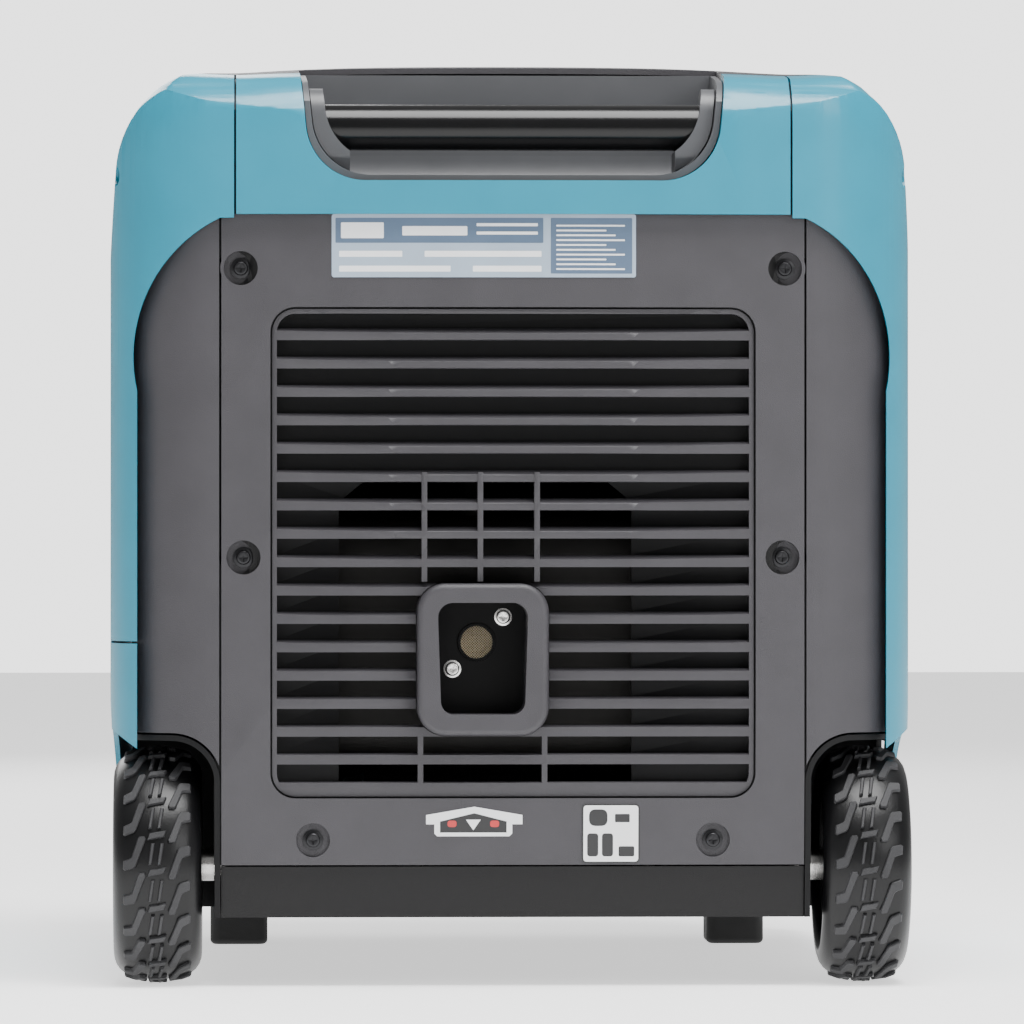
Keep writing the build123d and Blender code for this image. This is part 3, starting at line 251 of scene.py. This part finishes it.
DEFAULT_EDGE = 0.0006
EDGE_RADII = {"rear_louvre": 0.0009, "rear_panel": 0.0012, "exhaust_surround": 0.0022, "base_tray": 0.0015,
              "top_cover": 0.0013, "service_door": 0.0012, "battery_hatch": 0.0012,
              "left_lower_panel": 0.0012, "rubber_feet": 0.0015, "trolley_grip": 0.0015,
              "control_panel": 0.001}


# ---------------------------------------------------------------- the smooth outer form
# The size of the casing and the arcs that it is drawn with, in millimetres.
HALF_WIDTH, HALF_LENGTH, HEIGHT, BOTTOM = 220.0, 310.0, 510.0, 37.5
TOP_FALL = 19.0             # from the middle of the top to its edges
EDGE_Z = HEIGHT - TOP_FALL
WIDEST_Z, LONGEST_Z = 205.0, 300.0
SILL, SIDE_LEAN, END_TUCK, END_LEAN = 11.0, 9.0, 12.0, 2.0
SIDE_BOW, END_BOW = 3.0, 12.0
SIDE_ROUND, END_ROUND = 60, 34
BLEND = 20.0                # how far the three roundings run into one another at a corner


def arc_points(a, through, b, count):
    """Points along the circle arc from a to b."""
    a, through, b = map(np.array, (a, through, b))
    rows = np.array([2 * (through - a), 2 * (b - a)])
    centre = np.linalg.solve(rows, np.array([through @ through - a @ a, b @ b - a @ a]))
    start, end = a - centre, b - centre
    first = math.atan2(start[1], start[0])
    turn = (math.atan2(end[1], end[0]) - first + math.pi) % (2 * math.pi) - math.pi
    angles = first + turn * np.linspace(0, 1, count)
    radius = np.linalg.norm(start)
    line = np.column_stack((centre[0] + radius * np.cos(angles), centre[1] + radius * np.sin(angles)))
    return centre, radius, line


def rounded_outline(corners, middles, radii):
    """Half-planes round a convex outline of bowed sides, its corners rounded."""
    sides = [arc_points(corners[i], middles[i], corners[(i + 1) % 4], 40) for i in range(4)]
    points = []
    for i in range(4):
        centre, radius, line = sides[i]
        before, before_radius, _ = sides[i - 1]
        if not radii[i]:
            points.append(line)
            continue
        r0, r1 = before_radius - radii[i], radius - radii[i]
        apart = np.linalg.norm(centre - before)
        along = (r0 * r0 - r1 * r1 + apart * apart) / (2 * apart)
        off = math.sqrt(max(r0 * r0 - along * along, 0.0))
        ahead = (centre - before) / apart
        across = np.array([-ahead[1], ahead[0]])
        options = [before + along * ahead + sign * off * across for sign in (-1, 1)]
        middle = min(options, key=lambda p: np.linalg.norm(p - np.array(corners[i])))
        tangents = [c + (middle - c) / np.linalg.norm(middle - c) * r
                    for c, r in ((before, before_radius), (centre, radius))]
        angles = [math.atan2(*(t - middle)[::-1]) for t in tangents]
        turn = (angles[1] - angles[0] + math.pi) % (2 * math.pi) - math.pi
        sweep = angles[0] + turn * np.linspace(0, 1, 40)
        points.append(middle + radii[i] * np.column_stack((np.cos(sweep), np.sin(sweep))))
        points.append(line[np.linalg.norm(line - np.array(corners[i]), axis=1) > radii[i] * 1.05])
    outline = np.vstack(points)
    edges = np.roll(outline, -1, axis=0) - outline
    lengths = np.linalg.norm(edges, axis=1)
    outline, edges = outline[lengths > 0.01], edges[lengths > 0.01] / lengths[lengths > 0.01][:, None]
    normals = np.column_stack((edges[:, 1], -edges[:, 0]))
    inside = outline.mean(axis=0)
    normals *= np.where(((outline - inside) * normals).sum(axis=1) < 0, -1, 1)[:, None]
    return outline, normals


END_VIEW = rounded_outline([(HALF_WIDTH - SILL, BOTTOM), (HALF_WIDTH - SIDE_LEAN, EDGE_Z),
                            (SIDE_LEAN - HALF_WIDTH, EDGE_Z), (SILL - HALF_WIDTH, BOTTOM)],
                           [(HALF_WIDTH, WIDEST_Z), (0, HEIGHT), (-HALF_WIDTH, WIDEST_Z), (0, BOTTOM - 0.01)],
                           [0, SIDE_ROUND, SIDE_ROUND, 0])
SIDE_VIEW = rounded_outline([(HALF_LENGTH - END_TUCK, BOTTOM), (HALF_LENGTH - END_LEAN, EDGE_Z),
                             (END_LEAN - HALF_LENGTH, EDGE_Z), (END_TUCK - HALF_LENGTH, BOTTOM)],
                            [(HALF_LENGTH, LONGEST_Z), (0, HEIGHT), (-HALF_LENGTH, LONGEST_Z),
                             (0, BOTTOM - 0.01)],
                            [0, END_ROUND, END_ROUND, 0])
PLAN_X, PLAN_Y = HALF_WIDTH - SIDE_BOW, HALF_LENGTH - END_BOW
PLAN = rounded_outline([(PLAN_X, -PLAN_Y), (PLAN_X, PLAN_Y), (-PLAN_X, PLAN_Y), (-PLAN_X, -PLAN_Y)],
                       [(HALF_WIDTH, 0), (0, HALF_LENGTH), (-HALF_WIDTH, 0), (0, -HALF_LENGTH)],
                       [SIDE_ROUND] * 4)


def nearest_side(points, outline, columns):
    """For each point, how far it lies outside an outline, and which way is out."""
    corner, normal = outline
    reach = points[:, columns] @ normal.T - (corner * normal).sum(axis=1)
    side = reach.argmax(axis=1)
    out = np.zeros((len(points), 3))
    out[:, columns] = normal[side]
    return reach[np.arange(len(points)), side], out


def blend_corners(points):
    """Draws points in where two of the roundings meet, so that the corners are one smooth form."""
    views = [nearest_side(points, END_VIEW, [0, 2]), nearest_side(points, SIDE_VIEW, [1, 2]),
             nearest_side(points, PLAN, [0, 1])]
    furthest = np.max([reach for reach, _ in views], axis=0)
    draw = np.zeros(len(points))
    way = np.zeros((len(points), 3))
    for first, second in ((0, 1), (0, 2), (1, 2)):
        near = np.clip(1 - (furthest - np.minimum(views[first][0], views[second][0])) / BLEND, 0, 1)
        spread = np.clip(1.2 * (1 - (views[first][1] * views[second][1]).sum(axis=1)), 0, 1)
        draw += 0.55 * BLEND / 4 * near ** 2 * spread
    for reach, out in views:
        way += out * np.clip(1 - (furthest - reach) / BLEND, 0, 1)[:, None]
    lengths = np.linalg.norm(way, axis=1)
    return points - way / np.maximum(lengths, 1e-6)[:, None] * draw[:, None]


def soften_crown(points):
    """Eases the four diagonal ridges where the top's two crowns meet."""
    drop_x = TOP_FALL * (points[:, 0] / (HALF_WIDTH - SIDE_LEAN)) ** 2
    drop_y = TOP_FALL * (points[:, 1] / (HALF_LENGTH - END_LEAN)) ** 2
    reach = 1.3 * np.maximum(drop_x, drop_y) + 0.01
    near = np.clip(1 - np.abs(drop_x - drop_y) / reach, 0, 1)
    on_top = np.clip((points[:, 2] - 455.0) / 30.0, 0, 1) * (np.abs(points[:, 0]) < 190)
    eased = points.copy()
    eased[:, 2] -= reach * near ** 2 / 4 * on_top * np.clip((190.0 - np.abs(points[:, 0])) / 45.0, 0, 1)
    return eased


def finer_top(bm, step=16.0):
    """Cuts the top into a grid, so that its crown can be eased."""
    for axis, reach in ((0, 200), (1, 300)):
        for place in np.arange(-reach, reach + 1, step):
            normal, at = [0, 0, 0], [0, 0, 0]
            normal[axis], at[axis] = 1, place * MM
            faces = [face for face in bm.faces if all(vert.co.z > 0.47 for vert in face.verts)]
            geometry = faces + list({edge for face in faces for edge in face.edges})
            geometry += list({vert for face in faces for vert in face.verts})
            bmesh.ops.bisect_plane(bm, geom=geometry, plane_co=at, plane_no=normal, dist=1e-6)


def finer_corners(bm, step=5.0):
    """Cuts the mesh into small faces round the four upper corners, where the blend bends it."""
    for axis, (low, high) in enumerate(((125, 222), (225, 312), (330, 512))):
        for side in (-1, 1) if axis < 2 else (1,):
            for place in np.arange(low, high, step):
                faces = [face for face in bm.faces
                         if all(abs(v.co.x) > 0.118 and abs(v.co.y) > 0.215 and v.co.z > 0.32
                                for v in face.verts)] if place > low else list(bm.faces)
                geometry = faces + list({edge for face in faces for edge in face.edges})
                geometry += list({vert for face in faces for vert in face.verts})
                normal = [0, 0, 0]
                normal[axis] = 1
                at = [0, 0, 0]
                at[axis] = side * place * MM
                bmesh.ops.bisect_plane(bm, geom=geometry, plane_co=at, plane_no=normal, dist=1e-6)


def smooth_shell(node, material, edge=0.0013):
    """A moulded shell with its corners blended smooth and its edges rolled."""
    bm = copy_of(node)
    finer_corners(bm)
    finer_top(bm)
    bm.verts.ensure_lookup_table()
    points = np.array([vert.co for vert in bm.verts]) / MM
    for vert, point in zip(bm.verts, soften_crown(blend_corners(points)) * MM):
        vert.co = point
    thing = new_piece(node + "_moulding", bm, body_of_node(node), material, (node,))
    soften_edges(thing, edge)
    return thing


def add_tongue(node, spread, depth):
    """The tongue of a moulding, which lies behind its neighbours and closes the seam between them; its black
    is painted shade in the seam.
    """
    bm = copy_of(node)
    bmesh.ops.bisect_plane(bm, geom=bm.verts[:] + bm.edges[:] + bm.faces[:], plane_co=(0, 0, 0),
                           plane_no=(1, 0, 0), dist=1e-6)
    for vert in bm.verts:
        vert.co.x += math.copysign(spread * MM, vert.co.x) if abs(vert.co.x) > 0.09 else 0.0
        vert.co.y -= math.copysign(depth * MM, vert.co.y)
        vert.co.z -= depth * MM if vert.co.z > 0.46 else 0.0
    # Coloured black: painted shade seen through the seams.
    new_piece(node + "_tongue", bm, body_of_node(node), FINISHES["base_black"])


SHELLS = ("left_side_shell", "right_side_shell", "rear_top_bezel", "front_top_bezel", "rear_corner_covers",
          "front_frame", "top_cover")


def add_shells():
    slots = {row["node"]: row["material_slot"] for row in frame["record"]["subparts"]}
    for node in SHELLS:
        smooth_shell(node, FINISHES[slots[node]])


WINDOW_X, WINDOW_Z0, WINDOW_Z1, WINDOW_CORNER = 131.0, 102.0, 367.0, 13.5
# The louvre's inside, deeper than the slat fronts, is painted near black as shade.
SLAT_FRONTS = 0.0105        # what lies deeper than this, in metres, is the dark inside of the louvre


def add_louvre():
    """The louvre: its back wall and the sides of its slats painted near black as shade, behind front edges in
    its own dark grey.
    """
    bm = copy_of("rear_louvre")
    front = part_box("rear_louvre")[0][1]
    thing = new_piece("rear_louvre_moulding", bm, body_of_node("rear_louvre"),
                      FINISHES["dark_grey"], ("rear_louvre",))
    thing.data.materials.append(PAINTED_SHADE_BLACK)
    # Faces deeper than the slat fronts take the near-black painted shade.
    for polygon in thing.data.polygons:
        if polygon.center.y > front + SLAT_FRONTS:
            polygon.material_index = 1
    soften_edges(thing, EDGE_RADII["rear_louvre"])


def add_seam_shade_ring():
    """A ring behind the edge of the panel's window, against which the louvre lies; it closes the seam there,
    and its near-black colour is painted shade.
    """
    half_x, low_z, high_z, radius = WINDOW_X, WINDOW_Z0, WINDOW_Z1, WINDOW_CORNER
    bm = bmesh.new()
    loops = []
    for grow, deep in ((5.0, 3.4), (5.0, 5.0), (-3.0, 5.0), (-3.0, 3.4)):
        loop = []
        for side_x, side_z, start in ((1, 1, 0), (-1, 1, 90), (-1, -1, 180), (1, -1, 270)):
            cx = side_x * (half_x - radius)
            cz = high_z - radius if side_z > 0 else low_z + radius
            for turn in range(0, 91, 10):
                angle = math.radians(start + turn)
                x, z = cx + (radius + grow) * math.cos(angle), cz + (radius + grow) * math.sin(angle)
                out_x, out_z = cx + (radius + 5.0) * math.cos(angle), cz + (radius + 5.0) * math.sin(angle)
                y = rear_face(out_x * MM, out_z * MM) + deep * MM
                loop.append(bm.verts.new((x * MM, y, z * MM)))
        loops.append(loop)
    count = len(loops[0])
    for index in range(4):
        here, there = loops[index], loops[(index + 1) % 4]
        for place in range(count):
            after = (place + 1) % count
            bm.faces.new((here[place], here[after], there[after], there[place]))
    # Near black: painted shade in the seam round the window.
    new_piece("louvre_seam_shade_ring", bm, body_of_node("rear_panel"), PAINTED_SHADE_BLACK)


def add_display():
    """Plain lit bars, in three columns of three, behind the display's glass."""
    low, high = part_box("display_window")
    width, height = high[0] - low[0], high[2] - low[2]
    bars = [(0.08 + 0.3 * column, 0.3 + 0.3 * column, row)
            for column in range(3) for row in (0.22, 0.46, 0.7)]
    bm = bmesh.new()
    for left, right, row in bars:
        x0, x1 = low[0] + left * width, low[0] + right * width
        z0, z1 = low[2] + row * height, low[2] + (row + 0.1) * height
        outline = [(x0 + 0.001, z0), (x1, z0), (x1 - 0.001, z1), (x0, z1)]
        rings = [[bm.verts.new((x, high[1] + lift, z)) for x, z in outline] for lift in (-0.0002, 0.00025)]
        for index in range(4):
            after = (index + 1) % 4
            bm.faces.new((rings[0][index], rings[0][after], rings[1][after], rings[1][index]))
        bm.faces.new(rings[0])
        bm.faces.new(rings[1])
    new_piece("display_bars", bm, body_of_node("display_window"), LIT_SEGMENT)


# ---------------------------------------------------------------- tyres
TYRE_RADIUS, TREAD_HEIGHT, LUGS = 64.5, 2.0, 20
HALF_TREAD = 18.0


def crown(u):
    """Radius of the tyre's carcass, u from its middle."""
    return TYRE_RADIUS - TREAD_HEIGHT - 3.4 * (abs(u) / HALF_TREAD) ** 2.2


def tyre_section():
    """Half of the carcass outline from the crown's middle to the bead, as (across, radius)."""
    half = [(u, crown(u)) for u in np.linspace(0, HALF_TREAD, 10)]
    half += [(20.6, 57.0), (22.6, 54.2), (23.7, 51.0), (24.0, 48.4), (23.3, 45.6), (21.6, 43.4), (19.6, 42.1)]
    return half


def add_ring(bm, section, centre, turns=144):
    """Turns a closed outline about the wheel's axle."""
    rings = []
    for turn in range(turns):
        angle = 2 * math.pi * turn / turns
        rings.append([bm.verts.new((centre[0] + u * MM, centre[1] + r * MM * math.cos(angle),
                                    centre[2] + r * MM * math.sin(angle))) for u, r in section])
    for turn in range(turns):
        here, there = rings[turn], rings[(turn + 1) % turns]
        for index in range(len(section)):
            after = (index + 1) % len(section)
            bm.faces.new((here[index], here[after], there[after], there[index]))


def inset_outline(points, amount):
    """The outline drawn in by a small amount all round."""
    area = sum(a[0] * b[1] - b[0] * a[1] for a, b in zip(points, points[1:] + points[:1]))
    turn = 1 if area > 0 else -1
    result = []
    for index, point in enumerate(points):
        before, after = Vector(points[index - 1]), Vector(points[(index + 1) % len(points)])
        into, out = (Vector(point) - before).normalized(), (after - Vector(point)).normalized()
        bisector = Vector((-(into.y + out.y), into.x + out.x)).normalized() * turn
        result.append(tuple(Vector(point) + bisector * amount))
    return result


def add_lug(bm, outline, angle, centre):
    """A raised tread block that follows the crowned tyre."""
    rings = []
    for inset, height in ((-0.25, -1.0), (0.0, TREAD_HEIGHT - 0.6), (0.5, TREAD_HEIGHT)):
        ring = []
        for u, v in inset_outline(outline, inset):
            turn, radius = angle + v / TYRE_RADIUS, crown(u) + height
            ring.append(bm.verts.new((centre[0] + u * MM, centre[1] - radius * MM * math.cos(turn),
                                      centre[2] + radius * MM * math.sin(turn))))
        rings.append(ring)
    for low, high in zip(rings, rings[1:]):
        for index in range(len(low)):
            after = (index + 1) % len(low)
            bm.faces.new((low[index], low[after], high[after], high[index]))
    bm.faces.new(rings[-1])


# Outlines of the tread blocks, as (across, along) from where each one starts.
SHOULDER_LUG = [(-18.2, 0), (-17.2, -0.9), (-12.6, 0.4), (-11.4, 1.6), (-6.0, 16.6), (-6.6, 18.2),
                (-9.4, 18.2), (-10.2, 17.4), (-13.6, 6.6), (-14.6, 5.9), (-18.0, 4.6)]
CENTRE_BAR = [(-3.4, 0), (-0.4, 0.4), (2.2, 12.2), (-0.8, 12.2)]
CENTRE_PAD = [(-5.2, 14.0), (3.8, 15.8), (5.0, 19.4), (-4.0, 17.9)]


def add_tyre(side_name):
    low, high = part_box(side_name + "_tyre")
    centre = ((low[0] + high[0]) / 2, (low[1] + high[1]) / 2, (low[2] + high[2]) / 2)
    half = tyre_section()
    section = [(-u, r) for u, r in reversed(half[1:])] + half
    bm = bmesh.new()
    add_ring(bm, section, centre)
    new_piece(side_name + "_tyre_carcass", bm, side_name + "_wheel",
              FINISHES["tyre_rubber"], (side_name + "_tyre",))
    bm = bmesh.new()
    pitch = 2 * math.pi / LUGS
    for count in range(LUGS):
        angle = count * pitch
        add_lug(bm, SHOULDER_LUG, angle, centre)
        add_lug(bm, [(-u, -v) for u, v in SHOULDER_LUG], angle + 0.62 * pitch, centre)
        for shift in (-2.6, 2.3):
            add_lug(bm, [(u * 0.62 + shift, v) for u, v in CENTRE_BAR], angle + 0.1 * pitch, centre)
        add_lug(bm, CENTRE_PAD, angle + 0.1 * pitch, centre)
    new_piece(side_name + "_tyre_tread", bm, side_name + "_wheel", TREAD)


# ---------------------------------------------------------------- screws, spark screen and labels
def split_screws():
    """The black screws of the panel and the zinc screws of the exhaust plate."""
    for name, zinc, material in (("panel_screws", False, SCREW_BLACK),
                                 ("exhaust_screws", True, FINISHES["zinc_steel"])):
        bm = copy_of("rear_screws")
        drop = [v for v in bm.verts if (abs(v.co.x) < 0.08 and 0.12 < v.co.z < 0.25) != zinc]
        bmesh.ops.delete(bm, geom=drop, context="VERTS")
        thing = new_piece(name, bm, body_of_node("rear_screws"), material, ("rear_screws",))
        soften_edges(thing, 0.0003)


def rear_face(x, z):
    """The y of the rear panel's outside at a place on it, both in metres."""
    hit, place, _, _ = bpy.data.objects["rear_panel"].ray_cast(Vector((x, -0.5, z)), Vector((0, 1, 0)))
    return place.y if hit else rear_y + 0.006


def add_tile(bm, x0, x1, z0, z1, lift, thickness=0.35, radius=1.5):
    """A thin rounded tile that lies on the rear panel, its front that many millimetres proud."""
    corners = [(x1 - radius, z1 - radius, 0), (x0 + radius, z1 - radius, 90),
               (x0 + radius, z0 + radius, 180), (x1 - radius, z0 + radius, 270)]
    angles = [(cx, cz, math.radians(start + turn)) for cx, cz, start in corners for turn in (0, 30, 60, 90)]
    outline = [(cx + radius * math.cos(angle), cz + radius * math.sin(angle)) for cx, cz, angle in angles]
    add_flat(bm, outline, lift, thickness)


def add_flat(bm, outline, lift, thickness=0.35):
    """A thin tile of any outline, its front that many millimetres in front of the plane y = 0."""
    rings = [[bm.verts.new((x * MM, (depth - lift) * MM, z * MM)) for x, z in outline]
             for depth in (0, thickness)]
    count = len(outline)
    for index in range(count):
        after = (index + 1) % count
        bm.faces.new((rings[0][index], rings[0][after], rings[1][after], rings[1][index]))
    bm.faces.new(rings[0])
    bm.faces.new(rings[1])


def add_label(name, tiles, material):
    """Lays tiles on the rear panel as one piece that follows its bow."""
    bm = bmesh.new()
    for tile in tiles:
        if len(tile) == 4:
            add_tile(bm, *tile[0], tile[1], tile[2], tile[3])
        else:
            add_flat(bm, tile[0], tile[1])
    for x in range(-105, 75, 6):
        bmesh.ops.bisect_plane(bm, geom=bm.verts[:] + bm.edges[:] + bm.faces[:], plane_co=(x * MM, 0, 0),
                               plane_no=(1, 0, 0), dist=1e-6)
    for vert in bm.verts:
        vert.co.y += rear_face(vert.co.x, vert.co.z)
    new_piece(name, bm, body_of_node("rear_panel"), material)


def add_labels():
    """A data plate and two stickers, with plain bars in place of any wording."""
    add_label("data_plate", [((-98, 66, 383, 417), 0.45, 0.4, 1.2)], PLATE_BLUE)
    fields = [((-96, 16, 401.5, 415), 0.5, 0.1, 0.5), ((20, 64, 385, 415), 0.5, 0.1, 0.5)]
    add_label("data_plate_fields", fields, PLATE_DARK)
    bars = [((-93, -70, 404, 412.5), 0.56, 0.1, 0.5), ((-60, -25, 405.5, 410.5), 0.56, 0.1, 0.5)]
    bars += [((-20, 13, z, z + 1.6), 0.56, 0.1, 0.3) for z in (410.5, 406)]
    bars += [((-94, -60 + 26 * (row % 2), z, z + 3.2), 0.5, 0.1, 0.4) for row, z in enumerate((394, 386))]
    bars += [((-48 + 26 * (row % 2), 15, z, z + 3.2), 0.5, 0.1, 0.4) for row, z in enumerate((394, 386))]
    bars += [((23, 60 - 5 * (row % 3), z, z + 0.9), 0.56, 0.1, 0.3)
             for row, z in enumerate(np.arange(387, 413, 2.6))]
    add_label("data_plate_bars", bars, LABEL_WHITE)
    arrow = [(-41, 81.5), (-2, 81.5), (-0.5, 83), (-0.5, 88), (5, 88), (5, 93), (-21, 97.5), (-47, 93),
             (-47, 88), (-42.5, 88), (-42.5, 83)]
    add_label("heat_sticker", [(arrow, 0.4)], LABEL_WHITE)
    panel = [(-39.5, 83.5), (-3.5, 83.5), (-3.5, 89.5), (-21, 94), (-39.5, 89.5)]
    add_label("heat_sticker_field", [(panel, 0.46)], LABEL_INK)
    marks = [((x - 2.4, x + 2.4, 86.5, 90), 0.52, 0.1, 1.2) for x in (-33, -10)]
    add_label("heat_sticker_marks", marks, LABEL_RED)
    add_label("heat_sticker_centre", [([(-25.5, 90.5), (-17.5, 90.5), (-21.5, 84.8)], 0.52)], LABEL_WHITE)
    add_label("sound_sticker", [((37.3, 68.3, 67, 98.8), 0.4, 0.35, 2.0)], LABEL_INK)
    add_label("sound_sticker_face", [((38, 67.6, 67.7, 98.1), 0.46, 0.1, 1.6)], LABEL_WHITE)
    marks = [((41, 51, 87, 96), 0.52, 0.1, 3.0), ((55, 63, 89, 93.5), 0.52, 0.1, 0.5)]
    marks += [((40, 46, 70.5, 83), 0.52, 0.1, 1.5), ((48, 54, 70.5, 83), 0.52, 0.1, 1.5),
              ((57, 65.5, 70.5, 76), 0.52, 0.1, 0.8)]
    add_label("sound_sticker_marks", marks, LABEL_INK)


SCREEN_X, SCREEN_Z = -19.2, 186.0


def add_spark_screen():
    """A fine woven screen across the exhaust outlet."""
    front_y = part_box("exhaust_plate")[0][1] / MM
    radius, pitch, half = 9.0, 1.0, 0.2
    bm = bmesh.new()
    for turn in (math.radians(45), math.radians(135)):
        along = Vector((math.cos(turn), 0, math.sin(turn)))
        side = Vector((-along.z, 0, along.x))
        for count in range(-8, 9):
            reach = math.sqrt(max(radius ** 2 - (count * pitch) ** 2, 0.0))
            if reach < 1:
                continue
            middle = Vector((SCREEN_X, front_y + 0.6, SCREEN_Z))
            middle += side * count * pitch
            ring = [middle + along * end * reach + side * half * wide + Vector((0, deep, 0))
                    for end in (-1, 1) for wide, deep in ((-1, 0), (0, -0.3), (1, 0), (0, 0.3))]
            verts = [bm.verts.new(point * MM) for point in ring]
            for index in range(4):
                after = (index + 1) % 4
                bm.faces.new((verts[index], verts[after], verts[4 + after], verts[4 + index]))
            bm.faces.new(verts[:4])
            bm.faces.new(verts[4:])
    new_piece("spark_screen_weave", bm, body_of_node("exhaust_plate"), SCREEN_STEEL)


add_camera()
add_world()
add_floor()
add_light("overhead", (0.35, -0.9, 2.6), (0, 0, 0.3), (1.6, 1.6), 140)
add_light("front_fill", (1.8, -3.2, 1.6), (0, -0.3, 0.25), (1.3, 1.3), 34)
add_light("back_fill", (-1.0, 3.2, 1.6), (0, 0.3, 0.25), (2.0, 1.5), 45)
finish_cad_nodes()
add_shells()
TONGUE_SPREAD, TONGUE_DEPTH = 4.0, 4.2
for node in ("rear_top_bezel", "front_top_bezel", "rear_panel"):
    add_tongue(node, TONGUE_SPREAD, TONGUE_DEPTH)
add_louvre()
add_seam_shade_ring()
add_display()
# The wheel wells are painted near black as shade; the other three nodes take their own finishes.
for node, material in (("rear_grab_bar", BAR_BLACK), ("exhaust_plate", OUTLET_BLACK),
                       ("wheel_wells", PAINTED_SHADE_BLACK), ("display_window", DISPLAY_GLASS)):
    for place in bpy.data.objects[node].material_slots:
        place.material = material
for node, thing in frame["nodes"].items():
    if not thing.modifiers and node not in SHELLS + ("rear_louvre", "rear_screws", "left_tyre", "right_tyre"):
        soften_edges(thing, EDGE_RADII.get(node, DEFAULT_EDGE))
for side_name in ("left", "right"):
    add_tyre(side_name)
split_screws()
add_labels()
add_spark_screen()
